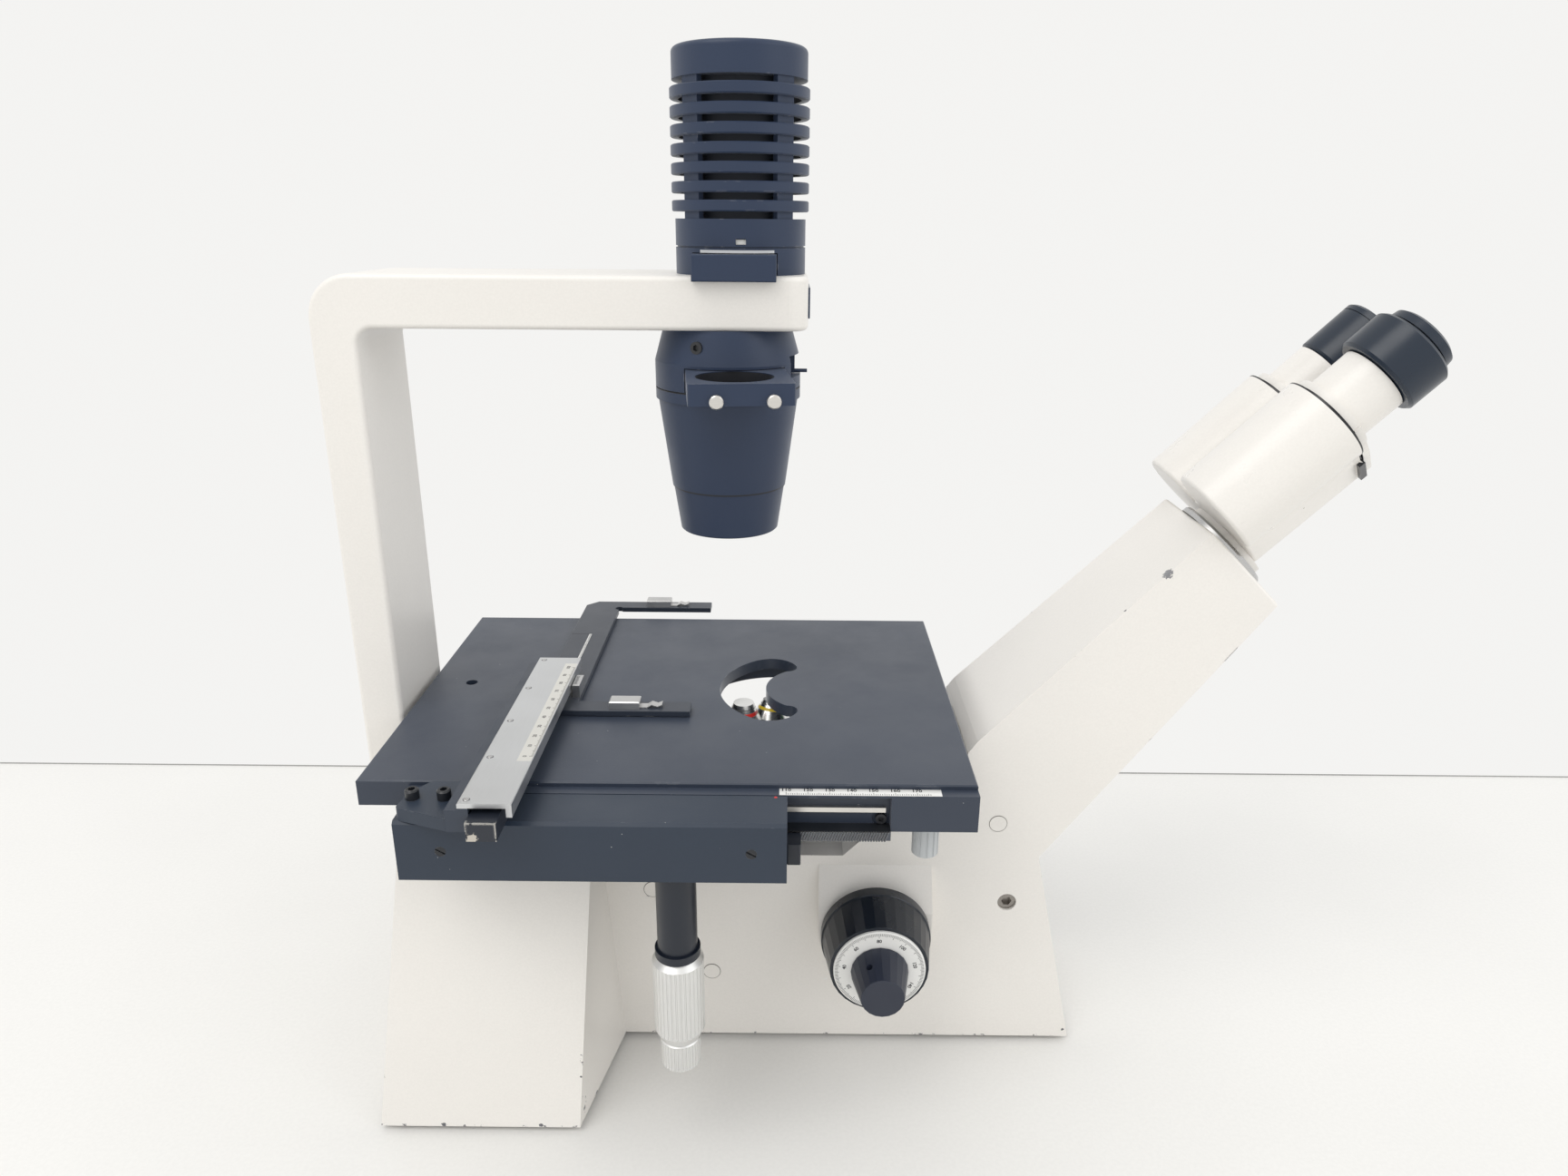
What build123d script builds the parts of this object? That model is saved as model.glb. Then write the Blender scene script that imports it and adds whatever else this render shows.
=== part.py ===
"""Inverted bench microscope, in millimetres.

The origin is on the bench, straight under the axis of lamp, specimen and objective.
+X points to the eyepieces, +Y to the far side of the stand and +Z up.
"""

from build123d import *
from math import asin, atan2, cos, degrees, hypot, pi, radians, sin, sqrt
import os

# Stand
feet_height = 3.0
stage_top = 198.0
stage_thickness = 13.0
stage_bottom = stage_top - stage_thickness
casting_bottom = feet_height
deck_top = 165.0
wall_thickness = 7.0
slide_clearance = 0.4
running_clearance = 0.05
overrun = 5.0

# Rear foot of the casting, at the bench and under the stage
foot_rear_low = -182.0
foot_rear_high = -163.5
foot_front_low = -80.0
foot_front_high = -69.5
foot_inner_low = -66.4
foot_inner_high = -80.5
foot_half_width_low = 115.0
foot_half_width_high = 79.5

# Body and inclined tube of the casting
body_front_low = 186.0
body_half_width_low = 47.6
body_half_width_high = 41.0
body_front_joint = (160.8, 119.0)
tube_root_low = (173.9, 136.6)
tube_root_high = (123.6, 187.0)
tube_wall_x = 119.0
tube_end_high = (233.0, 299.0)
tube_end_low = (268.0, 264.0)
tube_root_half_widths = (41.0, 42.8)
tube_end_half_widths = (34.5, 40.0)
casting_edge_radius = 1.6

# Bay for the nosepiece, light path and inner room
bay_floor = 119.0
bay_half_floor = 55.0
bay_rear = -58.0
bay_slope = 21.0
light_path_radius = 10.0
room_half_width = 39.0
room_rear = -88.0
room_top = 112.0
room_front_low = 176.0
room_front_high = 153.0
foot_room_low = (-174.0, 106.0)
foot_room_high = (-157.0, 72.0)
foot_room_top = 178.0
plate_recess = 2.6
plate_thickness = 2.2
plate_lip = 4.0
plate_clearance = 0.3
post_radius = 8.0
post_x = 92.0
post_y = 28.0

# Feet
foot_pad_radius = 9.0
foot_pad_places = ((-160.0, 92.0), (165.0, 30.0))

# Arm over the stage
arm_thickness = 24.6
arm_width = 64.0
arm_height = 195.6
arm_bottom = stage_top + arm_height
arm_top = arm_bottom + arm_thickness
column_thickness = 21.6
column_rear = -199.8
column_foot = 143.0
arm_end = 32.5
arm_outer_radius = 21.0
arm_inner_radius = 8.0
arm_edge_radius = 2.4
arm_end_radius = 9.0
arm_pad_front = -161.0
lamp_path_radius = 15.0

# Stage plate
stage_rear = -174.3
stage_front = 112.4
stage_half_width = 105.2
stage_edge_chamfer = 0.6
opening_side = (7.0, 38.3)
opening_rear_x = -13.0
opening_lobe = (22.0, 38.8)
opening_corner = (29.5, 30.0)
opening_tip = (28.5, 24.5)
tongue_side = (24.0, 22.5)
tongue_rear_x = 12.5
swing_recess = (43.0, 6.5)
pin_hole_place = (-151.7, 3.6)
pin_hole_radius = 3.2
edge_hole_radius = 2.1
edge_hole_spacing = 120.0
edge_hole_depth = 12.0
edge_hole_x = -31.0

# Guide rail on the stage's near edge
rail_front = -111.4
ledge_drop = 2.3
rail_left = -150.0
rail_bottom = 174.4
rail_block_left = 72.2
rail_recess_depth = 5.0
rail_lip = 1.2
rail_flange_back = -96.0
rail_screw = (2.6, 4.2, 0.8)
rail_screw_place = (68.0, 181.4)
rail_block_back = -80.0
rail_block_drop = 20.8
rail_block_bottom = stage_top - rail_block_drop
strip_size = (2.0, 2.4)
strip_bottom = 185.4
strip_right = 70.0
tongue_z = (188.6, 193.6)
tongue_depth = 3.2
tongue_right = 4.0
rack_front = -114.6
rack_depth = 8.2
rack_top = 178.6
rack_height = 4.8
rack_pitch = 1.25
rack_tooth = 0.8
rack_slant_share = 0.35
rack_tooth_share = 0.6
clamp_screw_radius = 6.4
clamp_screw_neck = 4.2
clamp_screw_head = 15.0
clamp_screw_flutes = 12
clamp_screw_bottom = 154.0
clamp_screw_x = 91.4
clamp_screw_y = -92.0

# Carriage of the mechanical stage
carriage_left = -146.8
carriage_right = 24.6
carriage_front = -136.6
carriage_back = -112.0
carriage_top = stage_top - ledge_drop
carriage_bottom = 166.3
carriage_chamfer = 1.4
rack_groove_gap = 0.7
pinion_pocket_gap = 0.8
slot_screw_radius = 2.5
slot_screw_z = 181.0
slot_screw_xs = (-127.0, 9.0)
slot_screw_head = 1.2
slot_screw_slot = 0.9
roller_block = (6.2, 9.7, 10.5)
roller_bottom = 168.0

# Bracket and silver cross bar on the carriage
bracket_top = 202.0
bracket_points = ((-119.0, -144.3), (-145.0, -135.1), (-143.5, -122.9), (-135.9, -112.0), (-119.0, -112.0))
cap_screw_places = ((-140.0, -127.0), (-126.0, -127.0))
cap_screw_radius = 3.1
cap_screw_height = 4.6
bar_left = -113.5
bar_width = 23.0
bar_front = -148.5
bar_length = 154.9
bar_top = 212.2
bar_thickness = 2.2
bar_lip = (2.6, 6.4)
guide_left = -119.0
guide_width = 10.0
guide_step = 3.2

# Specimen holder on the cross slide
holder_base = stage_top + 0.6
slide_left = -108.6
slide_width = 12.8
slide_back = -20.0
slide_height = 8.6
slide_front = -155.6
frame_left = -108.6
frame_width = 22.4
frame_thickness = 3.0
frame_far = 126.8
frame_near = -38.0
frame_tip = -26.4
arm_span_far = 11.4
arm_span_near = 11.6
frame_chamfer = 7.0
relief_radius = 2.4
finger_block = (16.0, 8.4, 4.2)
finger_block_x = -68.6
finger_length = 12.0
finger_width = 5.0
finger_thickness = 0.5
wave_shares = (0.35, 0.55, 0.8)
vernier_size = (3.8, 14.0, 7.0)
vernier_y = -22.8
index_strip = (1.8, 38.0, 0.5)

# Coaxial drive under the carriage
drive_x = -25.8
drive_y = -125.2
drive_tube_radius = 9.3
drive_tube_length = 46.0
drive_collar = (10.6, 4.0)
drive_knob_radius = 12.0
drive_knob_length = 46.0
drive_knob_taper = 2.6
drive_tip_radius = 9.6
drive_tip_length = 17.0
drive_shaft_radius = 3.0
drive_sleeve_radius = 5.0
drive_gap = 0.6
knurl_count = 36
knurl_depth = 0.5
pinion_radius = 9.9
pinion_lift = 0.2
drive_shaft_top = 6.0
shaft_gap = 0.05

# Lamp
collar_inset = 1.0
collar_radius = arm_width / 2 - collar_inset
collar_height = 24.8
collar_step = 12.0
collar_bore = 21.0
rib_count = 7
rib_pitch = 8.06
rib_height = 4.9
rib_overhang = 1.4
rib_depth = 4.0
rib_outer_radius = collar_radius + rib_overhang
rib_inner_radius = rib_outer_radius - rib_depth
rib_chamfer = 0.5
post_width = 10.0
post_inset = 1.0
cage_post_inner = rib_inner_radius - post_inset
cap_height = 13.6
cap_overhang = 0.3
cap_radius = collar_radius + cap_overhang
cap_edge = 2.4
cap_wall = 2.4
lamp_tube_radius = 23.7
lamp_tube_wall = 1.2
window_size = (4.6, 2.6)
window_x = 1.4
seam_depth = 0.8

# Lamp carrier that pulls out towards the viewer
carrier_width = 38.6
carrier_height = 9.6
carrier_top = arm_top + carrier_height
carrier_tab_gap = 0.6
arm_gap_depth = 5.0
carrier_front = -(arm_width / 2 + carrier_tab_gap + arm_gap_depth)
carrier_left = -21.0
carrier_tab_drop = 2.2
carrier_bottom = arm_top - carrier_tab_drop
carrier_back = 22.0
carrier_floor = 2.2
carrier_wall = 4.0
carrier_window = 9.0
socket_size = (12.0, 9.0, 6.6)
socket_front = 9.0
bulb_round_share = 0.7
bulb_radius = 2.6
bulb_length = 13.0
carrier_clearance = 0.4
lens_thickness = 6.0
lens_bulge_share = 0.3

# Condenser
condenser_x = -6.7
condenser_turn = 6.4
condenser_top_radius = 31.4
condenser_radius = 36.0
shoulder_height = 179.5
condenser_shoulder = stage_top + shoulder_height
seam_height_high = 166.3
condenser_seam_high = stage_top + seam_height_high
seam_height_low = 160.5
condenser_seam_low = stage_top + seam_height_low
condenser_seam_groove = 0.6
cone_end_height = 115.6
cone_end = stage_top + cone_end_height
cone_end_radius = 28.9
nose_height = 93.2
condenser_bottom = stage_top + nose_height
condenser_bottom_radius = 25.1
condenser_bore = 18.0
set_screw_radius = 2.9
set_screw_height = 187.9
set_screw_z = stage_top + set_screw_height
set_screw_length = 3.0
socket_share = 0.55
set_screw_turn = 28.8

# Slider in the condenser
slider_width = 47.2
slider_offset = 1.7
slider_height = 9.6
slider_top_height = 177.9
slider_top = stage_top + slider_top_height
slider_front = -76.0
slider_back = 32.0
slider_hole_radius = 18.0
slider_floor = 2.0
slider_recess_y = 23.0
slider_clearance = 0.4
grip_radius = 3.1
grip_length = 3.4
grip_spacing = 25.1
grip_offset = 1.3
grip_height_share = 0.22

# Iris
iris_ring = (26.8, 17.0, 2.0)
iris_height = 180.2
iris_z = stage_top + iris_height
iris_gap = 0.5
lever_radius = 0.9
lever_reach = 39.4
lever_post = (31.2, 33.2)
lever_height = 174.0
lever_z = stage_top + lever_height
lever_slot_inner = 26.8
lever_angle = -8.0
lever_slot_spare = 4.0
iris_swing = 24.0

# Nosepiece and objectives
lift_rail_x = (-58.0, -49.0)
lift_rail_half_width = 12.0
lift_plate_x = (-48.4, -41.0)
lift_plate_half_width = 20.0
lift_plate_z = (128.0, 163.0)
lift_bridge = (135.0, 143.5)
lift_bridge_half_width = 12.0
lift_cheek = 5.0
lift_gap = 0.35
turret_thickness = 7.0
turret_tilt = 10.0
turret_base_thickness = 8.0
turret_gap = 0.35
turret_knurls = 60
objective_ring_radius = 18.2
objective_top = 189.0
objective_radius = 10.4
turret_positions = 5
objective_lengths = (36.0, 30.0, 32.0, 33.0)
turret_hub_radius = 30.0
turret_pin_radius = 5.0
turret_pin_head = 6.4
seat_radius = 9.6
seat_height = 2.0
objective_light_radius = 7.0
objective_shares = (0.5, 0.66)
objective_ring = 2.4
objective_tip_radius = 5.6
objective_lens_radius = 4.4
lens_inset = 0.6

# Focus drive
focus_x = 72.6
focus_z = 80.6
boss_half_width = 30.5
boss_top = 113.5
boss_ramp_end = 92.0
boss_face = 57.0
knob_gap = 1.2
coarse_radius = 29.2
coarse_front_radius = 25.4
coarse_width = 30.6
coarse_rim = 7.0
coarse_facets = 30
dial_radius = 23.6
dial_thickness = 1.6
fine_base_radius = 14.8
fine_tip_radius = 10.9
fine_length = 20.0
fine_facets = 20
finger_hole = (1.7, 8.0)
finger_turn = 120.0
coarse_shaft_radius = 6.0
fine_shaft_radius = 3.0
bush_radius = 9.0


# Head: its own z runs along the tube, its own x points down and forward, its own y to the far side
ring_radius = 26.4
ring_height = 3.6
ring_bevel = 1.2
ring_bore = 16.0
head_turn = -6.05
head_floor = 6.8
head_length = 67.2
head_foot_radius = 22.0
head_bore = 15.0
lobe_pitch_radius = 38.3
pupil_distance = 56.0
lobe_outline_radius = 23.6
head_keel = ((-19.5, 48.2), (-0.1, 30.2), (13.9, 12.9), (16.0, 0.0))
head_edge_radius = 2.0
head_room_wall = 5.0
plate_gap = 0.8
swing_plate_thickness = 4.0
sleeve_radius = 17.4
sleeve_length = 22.6
sleeve_bore = 15.2
hub_radius = 7.0
eyepiece_barrel_radius = 21.6
eyepiece_barrel_length = 23.0
eyepiece_stem_radius = 15.14
eyepiece_stem_length = 20.0
eyepiece_edge = 1.4
eyepiece_wall = 3.0
far_barrel_radius = 17.9
far_barrel_length = 31.0
far_line_drop = 4.0
far_line_size = (0.5, 0.5)
eyecup_radius = 17.5
eyecup_length = 5.5
eyecup_neck = 1.6
eyecup_neck_radius = 16.4
eyecup_rim = 2.2
spigot_radius = 14.2
lens_radius = 11.0
swing_stop_size = (19.0, 5.0, 3.4)
swing_fan = (9.5, 140.0)
pilot_wall = 2.0

# Openings and fittings in the casting
plug_radius = 4.9
plug_depth = 3.0
plug_proud = 0.15
plug_places = ((137.5, 139.2), (-16.6, 44.6), (-48.4, 97.0))
hex_radius = 5.1
hex_recess = 1.2
hex_screw_place = (145.4, 91.0)
front_boss_size = (54.0, 56.0, 1.6)
front_cap_size = (34.0, 37.0, 2.0)
front_boss_z = 70.5
front_cap_z = 82.0
inlet_face = -172.5
inlet_recess = (60.0, 40.0)
inlet_flange_size = (47.6, 27.6, 1.6)
inlet_body_size = (40.0, 21.0, 17.0)
inlet_cavity = (26.0, 16.0, 14.0)
inlet_y = 58.0
inlet_z = 46.0
inlet_pin = (2.0, 4.6, 10.0)
inlet_pin_spacing = 7.0
switch_x = 148.0
switch_z = 62.0
switch_bezel = (26.0, 17.0, 2.0)
rocker_size = (21.0, 13.0, 7.0)
rocker_dish = 1.4
switch_face = 45.0
rocker_gap = 0.65
rocker_pin_radius = 1.5
knob_x = 118.0
knob_stem_radius = 3.0
knob_stem_length = 11.0
knob_radius = 11.0
knob_length = 14.0
supply_size = (62.0, 92.0, 52.0)
supply_front = -93.0
supply_vent = (3.0, 60.0, 1.2)
supply_vent_count = 6
mirror_size = (34.0, 26.0, 3.0)
mirror_z = 31.0
mirror_tilt = 22.5
mirror_block = (24.0, 24.0)
tube_lens_place_share = 0.72


def block(x, y, z):
    """A box from its low and high places along each axis."""
    size = (x[1] - x[0], y[1] - y[0], z[1] - z[0])
    middle = ((x[0] + x[1]) / 2, (y[0] + y[1]) / 2, (z[0] + z[1]) / 2)
    return Pos(*middle) * Box(*size)


def prism(points, low, high):
    """A plan outline drawn up from low to high."""
    outline = Polyline([(x, y, low) for x, y in points], close=True)
    return extrude(make_face(outline), amount=high - low, dir=(0, 0, 1))


def slab(points, near, far):
    """A side outline, given as x and z, drawn along Y."""
    outline = Polyline([(x, near, z) for x, z in points], close=True)
    return extrude(make_face(outline), amount=far - near, dir=(0, 1, 0))


def turned(points):
    """A profile of radius and height turned about the Z axis."""
    outline = Polyline([(r, 0, z) for r, z in points], close=True)
    return revolve(make_face(outline), Axis.Z)


def rod(radius, low, high, x=0, y=0):
    return Pos(x, y, (low + high) / 2) * Cylinder(radius, high - low)


def rod_y(radius, near, far, x, z):
    return Pos(x, (near + far) / 2, z) * Rot(90, 0, 0) * Cylinder(radius, far - near)


def rod_x(radius, low, high, y, z):
    return Pos((low + high) / 2, y, z) * Rot(0, 90, 0) * Cylinder(radius, high - low)


def tube(outer, inner, low, high, x=0, y=0):
    return rod(outer, low, high, x, y) - rod(inner, low - overrun, high + overrun, x, y)


def ring_of(shape, count, turn=0):
    """Copies of a shape round the Z axis."""
    return [Rot(0, 0, turn + 360 * step / count) * shape for step in range(count)]


def fused(shapes):
    result = shapes[0]
    for shape in shapes[1:]:
        result = result + shape
    return result


def softened(shape, edges, radius):
    """Rounds edges, with a smaller radius where the full one does not fit."""
    for share in (1, 0.6, 0.3):
        try:
            return fillet(edges, radius * share)
        except Exception:
            continue
    return shape


def save(name, *shapes):
    """Writes one sub-part; several shapes stay separate solids of one group."""
    solids = [solid for shape in shapes for solid in shape.solids()]
    whole = solids[0] if len(solids) == 1 else Compound(children=solids)
    export_step(whole, f"parts/{name}.step")
    return whole


def body_half_width(z):
    """Half the casting's width at a height: its side walls lean in as they rise."""
    share = (z - casting_bottom) / (tube_root_high[1] - casting_bottom)
    return body_half_width_low + (body_half_width_high - body_half_width_low) * share


def quad(corners):
    return make_face(Polyline([Vector(*corner) for corner in corners], close=True))


def foot_outline(rear, front, inner, half_width, inner_half, z):
    near = [(rear, -half_width, z), (front, -half_width, z), (inner, -inner_half, z)]
    far = [(inner, inner_half, z), (front, half_width, z), (rear, half_width, z)]
    return quad(near + far)


def stand_casting():
    low = foot_outline(foot_rear_low, foot_front_low, foot_inner_low,
                       foot_half_width_low, body_half_width_low, casting_bottom)
    high = foot_outline(foot_rear_high, foot_front_high, foot_inner_high,
                        foot_half_width_high, body_half_width_high, stage_bottom)
    foot = loft([low, high], ruled=True)

    body_rear = (foot_rear_high + foot_inner_high) / 2
    outline = [(body_rear, casting_bottom), (body_front_low, casting_bottom), body_front_joint,
               tube_root_low, tube_root_high, (tube_wall_x, tube_root_high[1] - stage_thickness / 2),
               (tube_wall_x, deck_top), (body_rear, deck_top)]
    body = slab(outline, -body_half_width_low, body_half_width_low)
    reach = body_front_low + overrun
    wedge_low = quad([(-reach, -body_half_width_low, casting_bottom),
                      (reach, -body_half_width_low, casting_bottom),
                      (reach, body_half_width_low, casting_bottom), (-reach, body_half_width_low,
                                                                     casting_bottom)])
    top_z = tube_root_high[1]
    top_half = body_half_width_high
    wedge_high = quad([(-reach, -top_half, top_z), (reach, -top_half, top_z),
                       (reach, top_half, top_z), (-reach, top_half, top_z)])
    body = body & loft([wedge_low, wedge_high], ruled=True)

    root = tube_section(tube_root_high, tube_root_low, tube_root_half_widths)
    end = tube_section(tube_end_high, tube_end_low, tube_end_half_widths)
    incline = loft([root, end], ruled=True)
    shape = foot + body + incline
    end_edges = shape.faces().sort_by(Axis((0, 0, 0), (1, 0, 1)))[-1].edges()
    return softened(shape, end_edges, casting_edge_radius)


def tube_section(high, low, half_widths):
    top, bottom = half_widths
    return quad([(high[0], -top, high[1]), (low[0], -bottom, low[1]),
                 (low[0], bottom, low[1]), (high[0], top, high[1])])


tube_end_centre = ((tube_end_high[0] + tube_end_low[0]) / 2, 0, (tube_end_high[1] + tube_end_low[1]) / 2)
tube_plane = Plane(origin=tube_end_centre, x_dir=(1, 0, -1), z_dir=(1, 0, 1))
tube_place = tube_plane.location
head_place = tube_place * Rot(0, 0, head_turn)
path_length = tube_end_centre[0] * sqrt(2)


def light_path(radius):
    """The inclined bore from the mirror to the end of the tube."""
    return tube_place * rod(radius, -path_length * tube_lens_place_share, overrun)


def bay_cut():
    """The open bay under the stage, with its front wall following the inclined light path."""
    reach = foot_half_width_low
    outline = [(bay_rear, bay_floor), (bay_half_floor, bay_floor),
               (bay_half_floor + bay_slope, bay_floor + bay_slope),
               (bay_half_floor + bay_slope, stage_bottom), (bay_rear, stage_bottom)]
    return slab(outline, -reach, reach)


def inner_rooms():
    body_room = slab([(room_rear - overrun, -overrun), (room_front_low, -overrun),
                      (room_front_high, room_top), (room_rear - overrun, room_top)],
                     -room_half_width, room_half_width)
    rear_low, half_low = foot_room_low
    rear_high, half_high = foot_room_high
    low = quad([(rear_low, -half_low, casting_bottom), (room_rear, -half_low, casting_bottom),
                (room_rear, half_low, casting_bottom), (rear_low, half_low, casting_bottom)])
    high = quad([(rear_high, -half_high, foot_room_top), (room_rear, -half_high, foot_room_top),
                 (room_rear, half_high, foot_room_top), (rear_high, half_high, foot_room_top)])
    return body_room + loft([low, high], ruled=True)


def base_outline(spare):
    """The T of the base plate, the size of the rooms and a lip round them."""
    rear = foot_room_low[0] - plate_lip - spare
    front = room_front_low + plate_lip + spare
    neck = room_rear + plate_lip + spare
    half = foot_room_low[1] + plate_lip + spare
    body_half = room_half_width + plate_lip + spare
    return [(rear, -half), (neck, -half), (neck, -body_half), (front, -body_half),
            (front, body_half), (neck, body_half), (neck, half), (rear, half)]


def focus_boss():
    """Raised pad round the focus shaft: it ramps out of the wall and ends in a round."""
    half = boss_half_width
    outline = slab([(focus_x - half, focus_z), (focus_x - half, boss_top), (focus_x + half, boss_top),
                    (focus_x + half, focus_z)], -boss_face, boss_face)
    outline = outline + rod_y(half, -boss_face, boss_face, focus_x, focus_z)
    wall = body_half_width(boss_top)
    ramp = Polyline([(focus_x - half, y, z) for y, z in
                     [(-wall, boss_top), (-boss_face, boss_ramp_end), (-boss_face, focus_z - half - overrun),
                      (boss_face, focus_z - half - overrun), (boss_face, boss_ramp_end), (wall, boss_top)]],
                    close=True)
    return outline & extrude(make_face(ramp), amount=half * 2, dir=(1, 0, 0))


front_tilt = degrees(atan2(body_front_low - body_front_joint[0], body_front_joint[1] - casting_bottom))


def front_place(z):
    """A place on the sloping front face: z points out of the face, x down it."""
    share = (z - casting_bottom) / (body_front_joint[1] - casting_bottom)
    x = body_front_low + (body_front_joint[0] - body_front_low) * share
    return Pos(x, 0, z) * Rot(0, 90 - front_tilt, 0)


def padded(width, height, low, high, corner):
    """A plate with rounded corners, long side along Y, standing on its own z."""
    shape = Pos(0, 0, (low + high) / 2) * Box(height, width, high - low)
    return fillet(shape.edges().filter_by(Axis.Z), corner)


def plug_hole(place, radius, depth):
    x, z = place
    face = body_half_width(z)
    return rod_y(radius, -face - overrun, -face + depth, x, z)


def stand_body():
    shape = stand_casting() - bay_cut()
    shape = shape + focus_boss()
    half = arm_width / 2
    shape = shape + block((column_rear + column_thickness, arm_pad_front), (-half, half), (column_foot, stage_bottom))
    wide, tall, deep = front_boss_size
    boss = padded(wide, tall, -wall_thickness / 2, deep, casting_edge_radius)
    shape = shape + front_place(front_boss_z) * boss
    shape = shape - inner_rooms()
    shape = shape - prism(base_outline(plate_clearance), -overrun, casting_bottom + plate_recess)
    shape = shape - light_path(light_path_radius)
    shape = shape - rod(light_path_radius, casting_bottom, bay_floor + overrun)
    for side in (-1, 1):
        shape = shape + rod(post_radius, deck_top - overrun, stage_bottom, post_x, side * post_y)
    shape = shape - rod_y(bush_radius, -boss_face - overrun, boss_face + overrun, focus_x, focus_z)
    for place in plug_places:
        shape = shape - plug_hole(place, plug_radius, plug_depth)
    shape = shape - plug_hole(hex_screw_place, hex_radius, hex_recess + plug_depth)

    half_wide, half_high = inlet_recess[0] / 2, inlet_recess[1] / 2
    shape = shape - block((foot_rear_low - overrun, inlet_face), (inlet_y - half_wide, inlet_y + half_wide),
                          (inlet_z - half_high, inlet_z + half_high))
    shape = shape - block((inlet_face - overrun, inlet_face + inlet_body_size[2]),
                          (inlet_y - inlet_body_size[0] / 2, inlet_y + inlet_body_size[0] / 2),
                          (inlet_z - inlet_body_size[1] / 2, inlet_z + inlet_body_size[1] / 2))
    length, height, _ = switch_bezel
    shape = shape - block((switch_x - length / 2 - slide_clearance, switch_x + length / 2 + slide_clearance),
                          (switch_face, body_half_width_low + overrun),
                          (switch_z - height / 2 - slide_clearance, switch_z + height / 2 + slide_clearance))
    shape = shape - switch_opening(room_half_width - overrun, switch_face + overrun)
    shape = shape - rod_y(knob_stem_radius + running_clearance, room_half_width - overrun,
                          body_half_width_low + overrun, knob_x, switch_z)
    return save("stand_body", shape)


def switch_opening(near, far):
    length, height, _ = rocker_size
    half_long = length / 2 + rocker_gap
    half_high = height / 2 + rocker_gap
    return block((switch_x - half_long, switch_x + half_long), (near, far),
                 (switch_z - half_high, switch_z + half_high))


def base_plate():
    """Closing plate under the rooms, with the wedge that carries the fold mirror."""
    top = casting_bottom + plate_recess
    shape = prism(base_outline(0), top - plate_thickness, top)
    half = mirror_block[0] / 2
    back = mirror_size[2] / cos(radians(mirror_tilt))
    drop = half * sin(radians(mirror_tilt)) / cos(radians(mirror_tilt))
    wedge = slab([(-half, top), (half, top), (half, mirror_z - back - drop), (-half, mirror_z - back + drop)],
                 -mirror_block[1] / 2, mirror_block[1] / 2)
    save("base_plate", shape + wedge)
    plate = Box(*mirror_size)
    save("fold_mirror", Pos(0, 0, mirror_z) * Rot(0, mirror_tilt, 0) * Pos(0, 0, -mirror_size[2] / 2) * plate)


def rubber_feet():
    top = casting_bottom + plate_recess - plate_thickness
    pads = [rod(foot_pad_radius, 0, top, x, side * y) for x, y in foot_pad_places for side in (-1, 1)]
    edge = casting_bottom / 3
    save("rubber_feet", *[chamfer(pad.edges().sort_by(Axis.Z)[0], edge) for pad in pads])


def column_arm():
    front = column_rear + column_thickness
    outline = [(column_rear, column_foot), (front, column_foot), (front, arm_bottom), (arm_end, arm_bottom),
               (arm_end, arm_top), (column_rear, arm_top)]
    half = arm_width / 2
    shape = slab(outline, -half, half)
    across = shape.edges().filter_by(Axis.Y)
    shape = fillet(across.group_by(Axis.Z)[-1].sort_by(Axis.X)[0], arm_outer_radius)
    inner = [e for e in shape.edges().filter_by(Axis.Y) if abs(e.center().X - front) < running_clearance]
    inner = [e for e in inner if abs(e.center().Z - arm_bottom) < running_clearance]
    shape = fillet(inner, arm_inner_radius)
    tip = shape.edges().filter_by(Axis.Z).sort_by(Axis.X)[-2:]
    shape = fillet(tip, arm_end_radius)
    sides = [f for f in shape.faces() if abs(abs(f.center().Y) - half) < running_clearance]
    shape = softened(shape, sides[0].edges() + sides[1].edges(), arm_edge_radius)
    save("column_arm", shape - rod(lamp_path_radius, arm_bottom - overrun, arm_top + overrun))


def lamp():
    low = arm_top
    seam = low + collar_step + seam_depth
    collar_top = low + collar_height
    seam_low = seam - seam_depth
    collar = turned([(0, low), (collar_radius, low), (collar_radius, seam_low),
                     (collar_radius - seam_depth, seam_low),
                     (collar_radius - seam_depth, seam), (collar_radius, seam), (collar_radius, collar_top),
                     (0, collar_top)])
    rib_gap = rib_pitch - rib_height
    ribs_top = collar_top + rib_gap + rib_count * rib_pitch
    parts = [collar]
    for step in range(rib_count):
        bottom = collar_top + rib_gap + step * rib_pitch
        rib = tube(rib_outer_radius, rib_inner_radius, bottom, bottom + rib_height)
        edges = rib.edges().filter_by(GeomType.CIRCLE).group_by(SortBy.RADIUS)[-1]
        parts.append(chamfer(edges, rib_chamfer))
    post = block((cage_post_inner, collar_radius - seam_depth), (-post_width / 2, post_width / 2),
                 (collar_top - seam_depth, ribs_top + seam_depth))
    parts = parts + ring_of(post, 4, 45)
    cap = rod(cap_radius, ribs_top, ribs_top + cap_height)
    cap = fillet(cap.edges().sort_by(Axis.Z)[-1], cap_edge)
    shape = fused(parts + [cap])
    shape = shape - rod(collar_bore, low - overrun, collar_top + overrun)
    shape = shape - rod(lamp_tube_radius - cap_wall, ribs_top - overrun, ribs_top + cap_height - cap_wall * 2)
    gap = carrier_clearance
    left = carrier_left - gap
    shape = shape - block((left, left + carrier_width + gap * 2),
                          (-collar_radius - overrun, carrier_back + gap),
                          (low - overrun, carrier_top + gap))
    window = block((window_x - window_size[0] / 2, window_x + window_size[0] / 2),
                   (-collar_radius - overrun, 0),
                   (seam + seam_depth, seam + seam_depth + window_size[1]))
    save("lamp_housing", shape - window)
    wall = tube(lamp_tube_radius, lamp_tube_radius - lamp_tube_wall, collar_top, ribs_top)
    save("lamp_tube", wall)


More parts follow.
